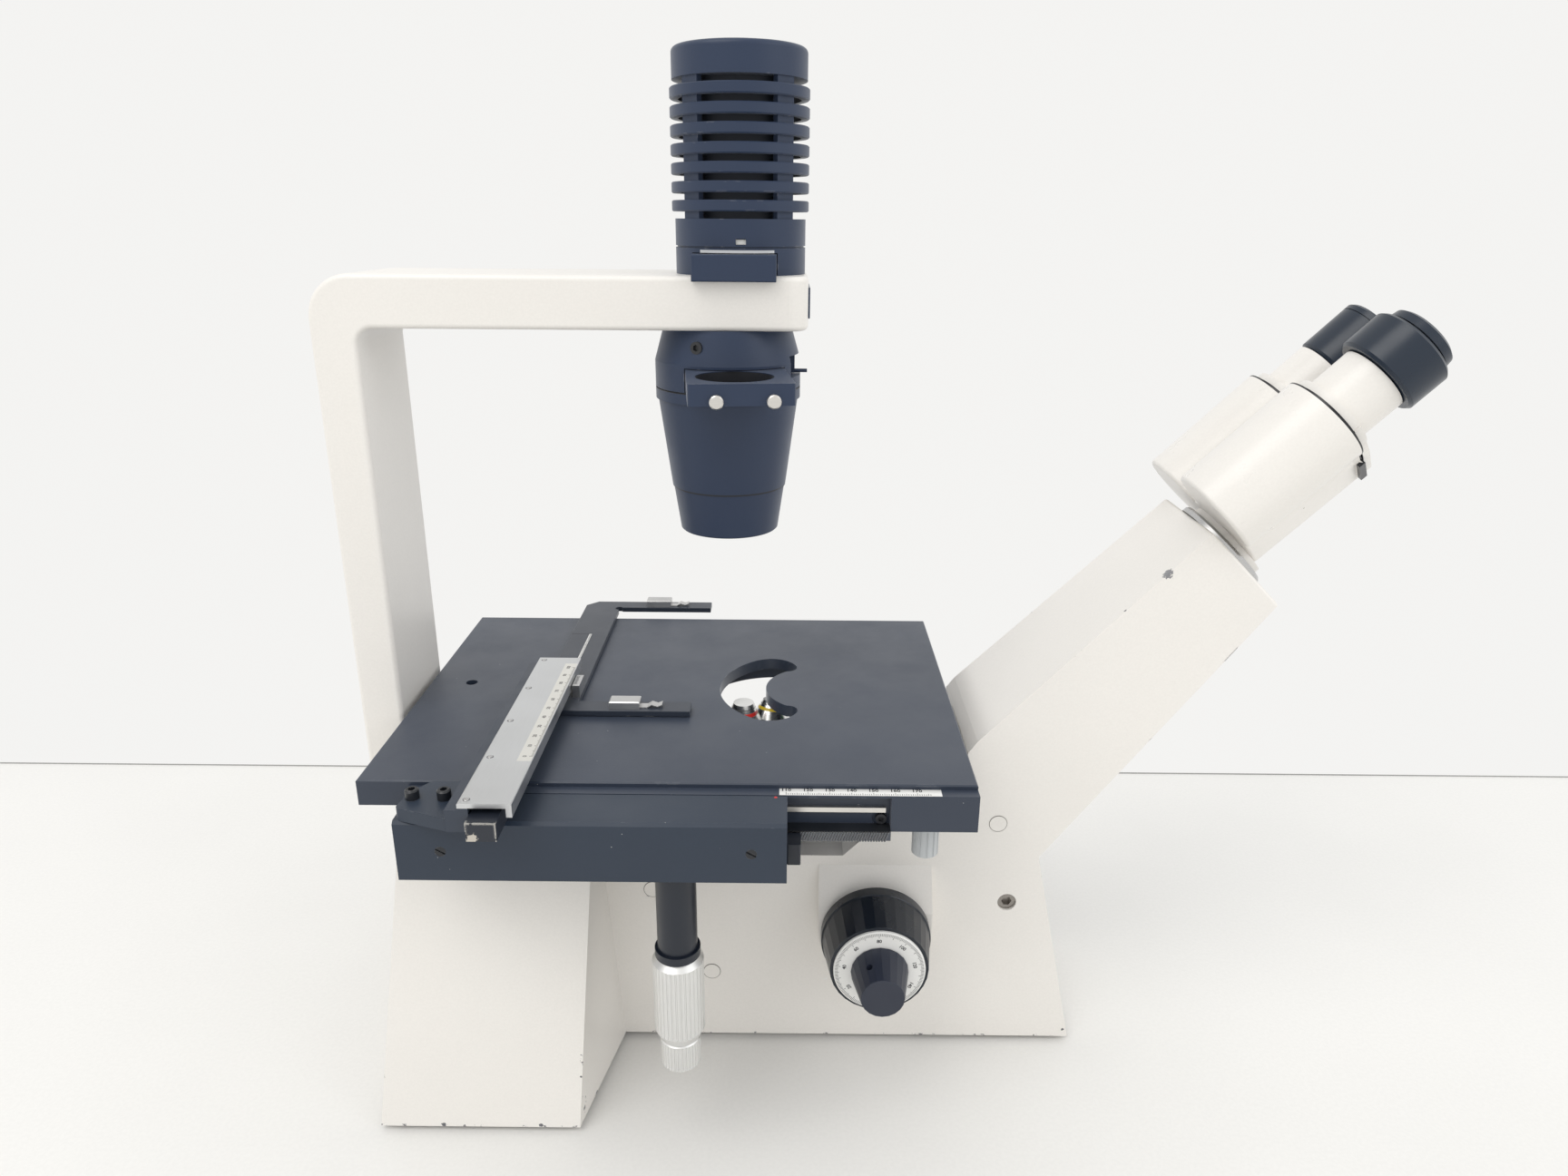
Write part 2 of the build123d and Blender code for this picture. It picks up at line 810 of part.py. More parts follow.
def lamp_carrier():
    low = arm_top + carrier_clearance
    right = carrier_left + carrier_width
    face_back = carrier_front + arm_gap_depth
    body = block((carrier_left, right), (carrier_front, carrier_back), (low, carrier_top))
    hollow = block((carrier_left + carrier_wall, right - carrier_wall),
                   (face_back + carrier_wall, carrier_back + overrun),
                   (low + carrier_floor, carrier_top + overrun))
    front = block((carrier_left, right), (carrier_front, face_back), (carrier_bottom, carrier_top))
    front_edges = front.faces().sort_by(Axis.Y)[0].edges()
    front = chamfer(front_edges, rib_chamfer)
    shape = body - hollow - block((carrier_left, right), (carrier_front - overrun, face_back),
                                  (low, carrier_top)) + front
    long, deep, high = socket_size
    floor = low + carrier_floor
    shape = shape + block((-long / 2, long / 2), (socket_front, socket_front + deep), (floor, floor + high))
    shape = shape - rod(carrier_window, low - overrun, floor + running_clearance)
    save("lamp_carrier", shape)
    bulb_z = floor + high / 2
    bulb = rod_y(bulb_radius, socket_front - bulb_length, socket_front, 0, bulb_z)
    save("bulb", fillet(bulb.edges().sort_by(Axis.Y)[0], bulb_radius * bulb_round_share))


condenser_place = Pos(condenser_x, 0, 0) * Rot(0, 0, condenser_turn)
turret_axis_x = objective_ring_radius * cos(radians(turret_tilt))


def condenser():
    top = arm_bottom
    groove = condenser_seam_groove
    mount = turned([(0, condenser_seam_high), (condenser_radius - groove, condenser_seam_high),
                    (condenser_radius - groove, condenser_seam_high + groove),
                    (condenser_radius, condenser_seam_high + groove), (condenser_radius, condenser_shoulder),
                    (condenser_top_radius, top), (0, top)])
    mount = mount - rod(condenser_bore, condenser_seam_high - overrun, top + overrun)
    gap = slider_clearance
    half = slider_width / 2 + gap
    mount = mount - block((slider_offset - half, slider_offset + half), (slider_front, slider_back + gap),
                          (condenser_seam_high - overrun, slider_top + gap))
    ring_outer, _, ring_thick = iris_ring
    mount = mount - rod(ring_outer + iris_gap, iris_z - iris_gap, iris_z + ring_thick + iris_gap)
    turn = iris_swing + lever_slot_spare
    slot = tube(condenser_radius + overrun, lever_slot_inner, lever_z - lever_radius - iris_gap,
                iris_z + ring_thick + iris_gap)
    reach = condenser_radius * 2
    wedge = prism([(0, 0)] + [(reach * cos(radians(lever_angle + a)), reach * sin(radians(lever_angle + a)))
                              for a in (-turn, 0, turn)], stage_top, top)
    mount = mount - (slot & wedge)
    grub_place = (Rot(0, 0, -90 - set_screw_turn) * Pos(condenser_radius, 0, set_screw_z) * Rot(0, 90, 0))
    mount = mount - grub_place * rod(set_screw_radius, -set_screw_length * 2, overrun)
    save("condenser_mount", condenser_place * mount)
    grub = condenser_place * grub_place * hex_socket(set_screw_radius, -set_screw_length * 2,
                                                     -set_screw_length / 2)

    cone = turned([(0, cone_end + groove), (cone_end_radius, cone_end + groove),
                   (condenser_radius - groove * 2, condenser_seam_low),
                   (condenser_radius - groove * 2, condenser_seam_low + groove),
                   (condenser_radius, condenser_seam_low + groove), (condenser_radius, condenser_seam_high),
                   (0, condenser_seam_high)])
    save("condenser_cone", condenser_place * (cone - rod(condenser_bore, cone_end - overrun, top)))
    nose = turned([(0, condenser_bottom), (condenser_bottom_radius - groove, condenser_bottom),
                   (condenser_bottom_radius, condenser_bottom + groove), (cone_end_radius - groove, cone_end),
                   (cone_end_radius - groove, cone_end + groove), (0, cone_end + groove)])
    save("condenser_nose", condenser_place * (nose - rod(condenser_bore, condenser_bottom - overrun, top)))
    return grub


def hex_socket(radius, low, high):
    """A short screw with a six-sided socket in its outer end."""
    socket = extrude(RegularPolygon(radius * socket_share, 6), amount=radius)
    return rod(radius, low, high) - Pos(0, 0, high - radius / 2) * socket


def set_screws(grub):
    """The small steel pieces: grub screws and the bearing strip of the rail."""
    x, z = hex_screw_place
    face = body_half_width(z) - hex_recess
    side = Pos(x, -face, z) * Rot(90, 0, 0) * hex_socket(hex_radius, -plug_depth, 0)
    radius, _, height = rail_screw
    x, z = rail_screw_place
    wall = rail_front + rail_recess_depth
    rail = Pos(x, wall, z) * Rot(90, 0, 0) * hex_socket(radius, -height, radius / 2)
    thick, tall = strip_size
    strip = block((rail_left, strip_right), (wall - thick, wall), (strip_bottom, strip_bottom + tall))
    save("set_screws", grub, side, rail, strip)


def lenses():
    low = arm_bottom + (arm_thickness - lens_thickness) / 2
    collector = lens(lamp_path_radius, low)
    condenser_lens = condenser_place * lens(condenser_bore, condenser_bottom + lens_thickness / 2)
    relay = tube_place * lens(light_path_radius, -lens_thickness * 2)
    save("lenses", collector, condenser_lens, relay)


def lens(radius, low):
    """A disc of glass with both faces curved outwards."""
    bulge = lens_thickness * lens_bulge_share
    high = low + lens_thickness
    bend = (radius ** 2 + bulge ** 2) / (bulge * 2)
    edge = rod(radius, low, high)
    return edge & (Pos(0, 0, low + bend) * Sphere(bend)) & (Pos(0, 0, high - bend) * Sphere(bend))


def slider():
    low = slider_top - slider_height
    half = slider_width / 2
    tray = block((slider_offset - half, slider_offset + half), (slider_front, slider_back), (low, slider_top))
    tray = fillet(tray.edges().filter_by(Axis.Z), casting_edge_radius)
    tray = tray - rod(slider_hole_radius, low - overrun, slider_top + overrun)
    tray = tray - rod(slider_hole_radius, low + slider_floor, slider_top + overrun, 0,
                      slider_front + slider_recess_y)
    save("phase_slider", condenser_place * tray)
    z = low + slider_height * grip_height_share
    x = slider_offset + grip_offset
    pins = [rod_y(grip_radius, slider_front - grip_length, slider_front, x + side * grip_spacing / 2, z)
            for side in (-1, 1)]
    pins = [chamfer(pin.edges().sort_by(Axis.Y)[0], rib_chamfer) for pin in pins]
    save("slider_grips", *[condenser_place * pin for pin in pins])


def iris():
    outer, inner, thick = iris_ring
    ring = tube(outer, inner, iris_z, iris_z + thick)
    near, far = lever_post
    bar = block((outer - thick, far), (-thick / 2, thick / 2), (iris_z, iris_z + thick))
    post = block((near, far), (-thick / 2, thick / 2), (lever_z - lever_radius, iris_z + thick))
    tip = rod_x(lever_radius, near, lever_reach, 0, lever_z)
    shape = Rot(0, 0, lever_angle) * (ring + bar + post + tip)
    save("iris_lever", condenser_place * shape)


def stage():
    half = stage_half_width
    plate = block((stage_rear, stage_front), (-half, half), (stage_bottom, stage_top))
    plate = chamfer(plate.faces().sort_by(Axis.Z)[-1].edges(), stage_edge_chamfer)
    side_x, side_y = opening_side
    lobe_x, lobe_y = opening_lobe
    tip_x, tip_y = opening_tip
    tongue_x, tongue_y = tongue_side
    corner_x, corner_y = opening_corner
    outline = Wire([
        ThreePointArc((side_x, -side_y), (opening_rear_x, 0), (side_x, side_y)),
        ThreePointArc((side_x, side_y), (lobe_x, lobe_y), (corner_x, corner_y)),
        ThreePointArc((corner_x, corner_y), (tip_x, tip_y), (tongue_x, tongue_y)),
        ThreePointArc((tongue_x, tongue_y), (tongue_rear_x, 0), (tongue_x, -tongue_y)),
        ThreePointArc((tongue_x, -tongue_y), (tip_x, -tip_y), (corner_x, -corner_y)),
        ThreePointArc((corner_x, -corner_y), (lobe_x, -lobe_y), (side_x, -side_y)),
    ])
    hole = extrude(Pos(0, 0, stage_bottom - overrun) * make_face(outline),
                   amount=stage_thickness + overrun * 2,
                   dir=(0, 0, 1))
    radius, depth = swing_recess
    plate = plate - hole - rod(radius, stage_bottom - overrun, stage_bottom + depth, turret_axis_x, 0)
    plate = plate - rod(pin_hole_radius, stage_top - stage_thickness / 2, stage_top + overrun, *pin_hole_place)
    for side in (-1, 1):
        plate = plate - rod_y(edge_hole_radius, half - edge_hole_depth, half + overrun,
                              edge_hole_x + side * edge_hole_spacing / 2, (stage_top + stage_bottom) / 2)
    save("stage_plate", plate)

    near = -half
    ledge_top = stage_top - ledge_drop
    rail = block((rail_left, stage_front), (rail_front, near), (stage_bottom, ledge_top))
    rail = rail + block((rail_block_left, stage_front), (rail_front, rail_block_back),
                        (rail_block_bottom, stage_bottom))
    wall = rail_front + rail_recess_depth
    rail = rail - block((rail_left - overrun, rail_block_left), (rail_front - overrun, wall),
                        (rail_block_bottom, ledge_top - rail_lip))
    rail = rail + block((rail_left, rail_block_left), (wall, rail_flange_back), (rail_bottom, stage_bottom))
    x, z = rail_screw_place
    radius, rim, height = rail_screw
    rail = rail - rod_y(rim, wall - overrun, wall + height, x, z)
    save("guide_rail", rail)
    save("stage_clamp_screw", clamp_screw())


def clamp_screw():
    """Fluted hand screw hanging under the rail block."""
    shape = turned([(0, clamp_screw_bottom), (clamp_screw_radius - rib_chamfer, clamp_screw_bottom),
                    (clamp_screw_radius, clamp_screw_bottom + rib_chamfer),
                    (clamp_screw_radius, clamp_screw_bottom + clamp_screw_head),
                    (clamp_screw_neck, clamp_screw_bottom + clamp_screw_head), (clamp_screw_neck,
                                                                                rail_block_bottom),
                    (0, rail_block_bottom)])
    flute = rod(knurl_depth, clamp_screw_bottom - overrun,
                clamp_screw_bottom + clamp_screw_head - rib_chamfer,
                clamp_screw_radius, 0)
    for cut in ring_of(flute, clamp_screw_flutes):
        shape = shape - cut
    return Pos(clamp_screw_x, clamp_screw_y, 0) * shape


def rack():
    """Row of slanted teeth standing out of a long bar, cut square to the bar's height."""
    low = rack_top - rack_height
    tooth_back = rack_front + rack_tooth
    bar_back = rack_front + rack_depth
    bar = block((rail_left, rail_block_left), (tooth_back, bar_back), (low, rack_top))
    slant = rack_slant_share * rack_height
    count = int((rail_block_left - rail_left - slant) / rack_pitch)
    half = rack_pitch * rack_tooth_share / 2
    teeth = []
    for step in range(count):
        x = rail_left + rack_pitch / 2 + step * rack_pitch
        outline = [(x - half, low), (x + half, low), (x + half + slant, rack_top),
                   (x - half + slant, rack_top)]
        teeth.append(slab(outline, rack_front, tooth_back + running_clearance))
    shape = bar.fuse(*teeth)
    save("stage_rack", shape)


def carriage():
    left, right = carriage_left, carriage_right
    shape = block((left, right), (carriage_front, carriage_back), (carriage_bottom, carriage_top))
    top_front = shape.edges().filter_by(Axis.X).group_by(Axis.Z)[-1].sort_by(Axis.Y)[0]
    shape = chamfer(top_front, carriage_chamfer)
    low = rack_top - rack_height - rack_groove_gap
    high = rack_top + rack_groove_gap
    shape = shape - block((left - overrun, right + overrun),
                          (rack_front - rack_groove_gap, carriage_back + overrun),
                          (low, high))
    shape = shape - rod(pinion_radius + pinion_pocket_gap, low, high, drive_x, drive_y)
    shape = shape - rod(drive_sleeve_radius + shaft_gap, carriage_bottom - overrun, low + overrun, drive_x,
                        drive_y)
    shape = shape - rod(drive_shaft_radius + shaft_gap, high - overrun,
                        high + drive_shaft_top + running_clearance,
                        drive_x, drive_y)
    shape = shape + block((left, tongue_right), (carriage_back, rail_front + tongue_depth), tongue_z)
    for x in slot_screw_xs:
        shape = shape - rod_y(slot_screw_radius, carriage_front - overrun, carriage_front + slot_screw_head,
                              x, slot_screw_z)
    save("carriage_block", shape)

    screws = [slotted(x) for x in slot_screw_xs]
    for x, y in cap_screw_places:
        screws.append(Pos(x, y, 0) * cap_screw(bracket_top))
    save("carriage_screws", *screws)
    bracket = prism(bracket_points, carriage_top, bracket_top)
    save("carriage_bracket", softened(bracket, bracket.edges().filter_by(Axis.Z), casting_edge_radius))

    roller_back = rack_front - rack_groove_gap
    roller = block((right, right + roller_block[0]), (roller_back - roller_block[1], roller_back),
                   (roller_bottom, roller_bottom + roller_block[2]))
    bore = drive_sleeve_radius + shaft_gap
    bottom = carriage_bottom - drive_tube_length
    neck = turned([(bore, bottom), (drive_collar[0], bottom), (drive_collar[0], bottom + drive_collar[1]),
                   (drive_tube_radius, bottom + drive_collar[1]), (drive_tube_radius, carriage_bottom),
                   (bore, carriage_bottom)])
    save("drive_tube", Pos(drive_x, drive_y, 0) * neck,
         chamfer(roller.edges().filter_by(Axis.Z), rib_chamfer))


def slotted(x):
    """Flat screw with a straight slot, sunk in the carriage's front."""
    shape = rod_y(slot_screw_radius, carriage_front, carriage_front + slot_screw_head, x, slot_screw_z)
    slot = Pos(x, carriage_front, slot_screw_z) * Rot(0, 30, 0) * Box(slot_screw_radius * 2,
                                                                      slot_screw_head, slot_screw_slot)
    return shape - slot


def cap_screw(low):
    head = rod(cap_screw_radius, low, low + cap_screw_height)
    head = chamfer(head.edges().sort_by(Axis.Z)[-1], stage_edge_chamfer)
    socket = extrude(RegularPolygon(cap_screw_radius * socket_share, 6), amount=cap_screw_height)
    return head - Pos(0, 0, low + cap_screw_height / 2) * socket


def cross_bar():
    right = bar_left + bar_width
    under = bar_top - bar_thickness
    back = bar_front + bar_length
    inner = guide_left + guide_width
    outline = [(guide_left, holder_base), (inner, holder_base), (inner, under), (right - bar_lip[0], under),
               (right - bar_lip[0], under - bar_lip[1] + bar_thickness), (right,
                                                                          under - bar_lip[1] + bar_thickness),
               (right, bar_top), (bar_left, bar_top), (bar_left, bar_top - guide_step), (guide_left,
                                                                                         bar_top - guide_step)]
    shape = slab(outline, bar_front, back)
    foot = block((guide_left, inner), (carriage_front, carriage_back), (carriage_top, holder_base))
    top_edges = shape.faces().sort_by(Axis.Z)[-1].edges().filter_by(Axis.Y)
    save("cross_bar", softened(shape, top_edges, stage_edge_chamfer) + foot)


def holder():
    left, low = frame_left, holder_base
    high = low + frame_thickness
    right = left + frame_width
    outline = [(left, frame_near), (frame_tip, frame_near), (frame_tip, frame_near + arm_span_near),
               (right, frame_near + arm_span_near), (right, frame_far - arm_span_far),
               (frame_tip, frame_far - arm_span_far), (frame_tip, frame_far), (left + frame_chamfer,
                                                                               frame_far),
               (left, frame_far - frame_chamfer)]
    shape = prism(outline, low, high)
    notch = rod(relief_radius, low - overrun, high + overrun, right,
                frame_far - arm_span_far - relief_radius / 2)
    shape = shape - notch
    save("holder_frame", chamfer(shape.faces().sort_by(Axis.Z)[-1].edges(), index_strip[2] / 2))
    slide = block((slide_left, slide_left + slide_width), (slide_front, slide_back),
                  (low, low + slide_height))
    step = block((slide_left - overrun, slide_left + slide_width + overrun),
                 (frame_near, slide_back + overrun),
                 (low - overrun, high))
    save("holder_slide", slide - step)

    wide, deep, tall = finger_block
    pieces = []
    for middle in (frame_near + arm_span_near / 2, frame_far - arm_span_far / 2):
        clip = block((finger_block_x, finger_block_x + wide), (middle - deep / 2, middle + deep / 2),
                     (high, high + tall))
        clip = chamfer(clip.faces().sort_by(Axis.Z)[-1].edges(), stage_edge_chamfer)
        pieces.append(clip + finger(middle, high))
    long, span, rise = vernier_size
    plate = block((right - long, right), (vernier_y, vernier_y + span), (high, high + rise))
    save("holder_clips", *pieces, plate)


def finger(middle, low):
    """Thin spring leaf that leaves the clip block and ends in a wave."""
    start = finger_block_x + finger_block[0] - finger_thickness
    reach = finger_length
    rise = finger_thickness * 3
    points = [(start, 0), (start + reach * wave_shares[0], 0), (start + reach * wave_shares[1], rise),
              (start + reach * wave_shares[2], finger_thickness), (start + reach, rise)]
    top = [(x, low + z + finger_thickness) for x, z in reversed(points)]
    bottom = [(x, low + z) for x, z in points]
    return slab(bottom + top, middle - finger_width / 2, middle + finger_width / 2)


def drive_knobs():
    """The outer knob turns the carriage's pinion, the lower one a shaft inside it."""
    top = carriage_bottom - drive_tube_length - drive_gap
    bottom = top - drive_knob_length
    taper = drive_knob_taper
    knob = turned([(0, bottom), (drive_tip_radius, bottom), (drive_knob_radius, bottom + taper * 2),
                   (drive_knob_radius, top - taper), (drive_knob_radius - taper, top), (0, top)])
    knob = knob - fused(ring_of(rod(knurl_depth, bottom + taper * 2, top - taper, drive_knob_radius, 0),
                                knurl_count))
    low = rack_top - rack_height
    sleeve = rod(drive_sleeve_radius, top - overrun, low + pinion_lift)
    pinion = rod(pinion_radius, low + pinion_lift, rack_top - pinion_lift)
    cuts = ring_of(rod(knurl_depth, low, rack_top + overrun, pinion_radius, 0), knurl_count)
    pinion = pinion - fused(cuts)
    shape = knob + sleeve + pinion
    shape = shape - rod(drive_shaft_radius + shaft_gap, bottom - overrun, rack_top + overrun)
    place = Pos(drive_x, drive_y, 0)
    save("x_knob", place * shape)

    tip_top = bottom - drive_gap
    tip = turned([(0, tip_top - drive_tip_length), (drive_tip_radius - taper, tip_top - drive_tip_length),
                  (drive_tip_radius, tip_top - drive_tip_length + taper), (drive_tip_radius,
                                                                           tip_top - stage_edge_chamfer),
                  (drive_tip_radius - stage_edge_chamfer, tip_top), (0, tip_top)])
    tip = tip - fused(ring_of(rod(knurl_depth, tip_top - drive_tip_length + taper,
                                  tip_top - stage_edge_chamfer,
                                  drive_tip_radius, 0), knurl_count))
    shaft = rod(drive_shaft_radius, tip_top - overrun, rack_top + rack_groove_gap + drive_shaft_top)
    save("y_knob", place * (tip + shaft))


def turret_place():
    """Places the turret so that its first objective stands upright on the light axis."""
    radius = objective_ring_radius
    tilt = radians(turret_tilt)
    seat = objective_top - objective_lengths[0]
    return Pos(turret_axis_x, 0, seat - radius * sin(tilt)) * Rot(0, turret_tilt, 0)


def seat_place(step):
    turn = 180 - step * 360 / turret_positions
    return turret_place() * Rot(0, 0, turn) * Pos(objective_ring_radius, 0, 0) * Rot(0, turret_tilt, 0)


def nosepiece():
    place = turret_place()
    disc_top = -seat_height
    disc_low = disc_top - turret_thickness
    base_top = disc_low - turret_gap
    base_low = base_top - turret_base_thickness
    disc = rod(turret_hub_radius, disc_low, disc_top)
    disc = chamfer(disc.edges().group_by(Axis.Z)[-1], stage_edge_chamfer)
    disc = disc - fused(ring_of(rod(knurl_depth, disc_low - overrun, disc_top - knurl_depth * 3,
                                    turret_hub_radius, 0),
                                turret_knurls))
    turret = place * disc
    for step in range(turret_positions):
        turret = turret + seat_place(step) * rod(seat_radius, -seat_height * 2, 0)
    turret = turret - place * rod(turret_pin_radius + shaft_gap, disc_low - overrun, disc_top + overrun)
    for step in range(turret_positions - 1):
        turret = turret - seat_place(step) * rod(objective_light_radius, -turret_thickness * 2, overrun)
    save("turret", turret)

    base = place * rod(turret_hub_radius, base_low, base_top)
    pin = place * (rod(turret_pin_radius, base_top - overrun, disc_top + turret_gap)
                   + rod(turret_pin_head, disc_top + turret_gap, disc_top + turret_gap + seat_height))
    low, high = lift_plate_z
    plate = block(lift_plate_x, (-lift_plate_half_width, lift_plate_half_width), (low, high))
    cheek_inner = lift_rail_half_width + lift_gap
    cheeks = [block((lift_rail_x[0] + lift_gap, lift_plate_x[1]), side, (low, high))
              for side in ((-cheek_inner - lift_cheek, -cheek_inner),
                           (cheek_inner, cheek_inner + lift_cheek))]
    bridge = block((lift_plate_x[1], -turret_pin_radius), (-lift_bridge_half_width, lift_bridge_half_width),
                   lift_bridge)
    shape = base + pin + plate + cheeks[0] + cheeks[1] + bridge
    shape = shape - rod(objective_light_radius, bay_floor,
                        objective_top - objective_lengths[0] - seat_height * 2)
    save("nosepiece_carrier", shape)
    rail = block((lift_rail_x[0], lift_rail_x[1] - lift_gap), (-lift_rail_half_width, lift_rail_half_width),
                 (bay_floor, deck_top))
    save("lift_guide", rail)

    for step, name in enumerate(("red", "yellow", "green", "blue")):
        save(f"objective_{name}", seat_place(step) * objective(objective_lengths[step]))


def objective(length):
    """Barrel with a coloured ring groove, a silver cone and a small front lens."""
    outer = objective_radius
    shoulder = length * objective_shares[0]
    cone = length * objective_shares[1]
    shape = turned([(0, 0), (seat_radius, 0), (seat_radius, seat_height), (outer, seat_height),
                    (outer, shoulder - objective_ring), (outer - knurl_depth, shoulder - objective_ring),
                    (outer - knurl_depth, shoulder), (outer, shoulder), (outer, cone),
                    (objective_tip_radius, length), (0, length)])
    bore = turned([(0, -overrun), (objective_light_radius, -overrun), (objective_light_radius, shoulder),
                   (objective_lens_radius, cone), (objective_lens_radius, length - lens_inset),
                   (0, length - lens_inset)])
    return shape - bore


def ngon_cone(base, tip, low, high, sides):
    """A cone with flat facets."""
    lower = Pos(0, 0, low) * RegularPolygon(base, sides)
    upper = Pos(0, 0, high) * RegularPolygon(tip, sides)
    return loft([lower, upper], ruled=True)


def focus_drive():
    """Coaxial knobs on both walls; drawn upright, then laid along the shaft."""
    near = Pos(focus_x, 0, focus_z) * Rot(90, 0, 0)
    far = Pos(focus_x, 0, focus_z) * Rot(-90, 0, 0)
    low = boss_face + knob_gap
    high = low + coarse_width
    rim = chamfer(rod(coarse_radius, low, low + coarse_rim).edges(), stage_edge_chamfer)
    grip = ngon_cone(coarse_radius - stage_edge_chamfer, coarse_front_radius, low + coarse_rim,
                     high - dial_thickness,
                     coarse_facets)
    knob = rim + grip - rod(coarse_shaft_radius, low - overrun, high + overrun)
    save("coarse_knobs", near * knob, far * knob)
    hole = rod(fine_shaft_radius + shaft_gap, -high - overrun, high + overrun)
    save("coarse_shaft", near * (rod(coarse_shaft_radius, -high, high) - hole))
    dial = tube(dial_radius, coarse_shaft_radius, high - dial_thickness, high)
    dial = chamfer(dial.edges().group_by(Axis.Z)[-1].filter_by(GeomType.CIRCLE).sort_by(SortBy.RADIUS)[-1],
                   knurl_depth)
    save("dial_ring", near * dial, far * dial)

    face = high + drive_gap
    knob = ngon_cone(fine_base_radius, fine_tip_radius, face, face + fine_length, fine_facets)
    end = knob.faces().sort_by(Axis.Z)[-1].edges()
    knob = softened(knob, end, stage_edge_chamfer)
    radius, depth = finger_hole
    middle = (fine_base_radius + fine_tip_radius) / 2
    knob = knob - Rot(0, 0, finger_turn) * rod_x(radius, middle - depth, middle + depth, 0,
                                                 face + fine_length / 2)
    knob = knob - rod(fine_shaft_radius, face - overrun, face + fine_length / 2)
    save("fine_knobs", near * knob, far * knob)
    end = face + fine_length / 2
    save("fine_shaft", near * rod(fine_shaft_radius, -end, end))
    bush = tube(bush_radius, coarse_shaft_radius + shaft_gap, room_half_width, boss_face)
    save("focus_bushes", near * bush, far * bush)


def outline_prism(low, high, spare=0):
    """The head's outline: two round lobes over a keel, drawn along the tube."""
    x = -sqrt(lobe_pitch_radius ** 2 - (pupil_distance / 2) ** 2)
    half = pupil_distance / 2
    side = list(head_keel)
    points = [(x, -half)] + [(a, -b) for a, b in side] + [(a, b) for a,
                                                          b in reversed(side[:-1])] + [(x, half)]
    keel = prism(points, low, high)
    lobes = [rod(lobe_outline_radius - spare, low, high, x, place) for place in (-half, half)]
    return keel + lobes[0] + lobes[1]


def head():
    ring = turned([(ring_bore, 0), (ring_radius, 0), (ring_radius, ring_height - ring_bevel),
                   (ring_radius - ring_bevel, ring_height), (ring_bore, ring_height)])
    save("dovetail_ring", tube_place * ring)

    top = head_floor + head_length
    half = pupil_distance / 2
    x = -sqrt(lobe_pitch_radius ** 2 - half ** 2)
    body = outline_prism(head_floor, top)
    body = softened(body, body.faces().sort_by(Axis.Z)[0].edges(), head_edge_radius)
    wall = head_room_wall
    room = rod(lobe_outline_radius - wall, head_floor + wall, top - wall, x, -half)
    room = room + rod(lobe_outline_radius - wall, head_floor + wall, top - wall, x, half)
    room = room + block((x, 0), (-half, half), (head_floor + wall, top - wall))
    body = body - room
    spigot = rod(head_foot_radius, ring_height + turret_gap, head_floor + running_clearance)
    pilot = rod(ring_bore - running_clearance, ring_height / 2, head_floor)
    body = body + spigot + pilot - rod(head_bore - pilot_wall, 0, head_floor + wall + running_clearance)
    body = body + rod(hub_radius - shaft_gap, top, top + plate_gap + swing_plate_thickness) + stop_block(top)
    for place in (-half, half):
        body = body - rod(sleeve_bore - eyepiece_wall, top - wall - running_clearance, top + overrun, x,
                          place)
    save("head_body", head_place * body)

    low = top + plate_gap
    high = low + swing_plate_thickness
    for side, name in ((-1, "near"), (1, "far")):
        reach = lobe_pitch_radius * 2
        fan = [(0, 0)] + [(-reach * cos(radians(a)), side * reach * sin(radians(a)))
                          for a in (swing_fan[0], (swing_fan[0] + swing_fan[1]) / 2, swing_fan[1])]
        plate = (outline_prism(low, high, eyepiece_wall) & prism(fan, low, high))
        middle = low + swing_plate_thickness / 2
        mine, other = ((low, middle), (middle, high)) if side > 0 else ((middle, high), (low, middle))
        plate = plate - rod(hub_radius + eyepiece_wall + turret_gap, other[0] - shaft_gap,
                            other[1] + shaft_gap)
        gap = shaft_gap if side < 0 else 0
        plate = plate + rod(hub_radius + eyepiece_wall, mine[0] + gap, mine[1] - shaft_gap + gap)
        plate = plate - rod(hub_radius, low - overrun, high + overrun)
        sleeve = rod(sleeve_radius, low + overrun / 2, high + sleeve_length, x, side * half)
        plate = plate + sleeve - rod(sleeve_bore, low - overrun, high + sleeve_length + overrun, x,
                                     side * half)
        save(f"{name}_plate", head_place * plate)

    barrel_low = high + sleeve_length + drive_gap
    near = head_place * Pos(x, -half, barrel_low)
    far = head_place * Pos(x, half, barrel_low)
    save("near_eyepiece", near * near_barrel())
    save("near_diopter_ring", near * diopter_ring())
    save("far_eyepiece", far * far_barrel())
    glass = rod(lens_radius, -eyecup_rim - lens_thickness, -eyecup_rim)
    save("near_eye_lens", near * Pos(0, 0, eyepiece_barrel_length + eyecup_length) * glass)
    save("far_eye_lens", far * Pos(0, 0, far_barrel_length) * glass)


def stop_block(top):
    """Black stop on the near flank of the housing, just under the swing plate."""
    (rear, wide), (front, narrow) = head_keel[1], head_keel[2]
    long, deep, tall = swing_stop_size
    turn = degrees(atan2(wide - narrow, front - rear))
    return Pos((rear + front) / 2, -(wide + narrow) / 2, top - tall / 2) * Rot(0, 0, turn) * Box(long, deep,
                                                                                                 tall)


def eyepiece_bore(top):
    """The tube's room, with a dished rim over the eye lens."""
    return turned([(0, -eyepiece_stem_length - overrun), (lens_radius, -eyepiece_stem_length - overrun),
                   (lens_radius, top - eyecup_rim), (lens_radius + eyecup_rim, top + running_clearance),
                   (0, top + running_clearance)])


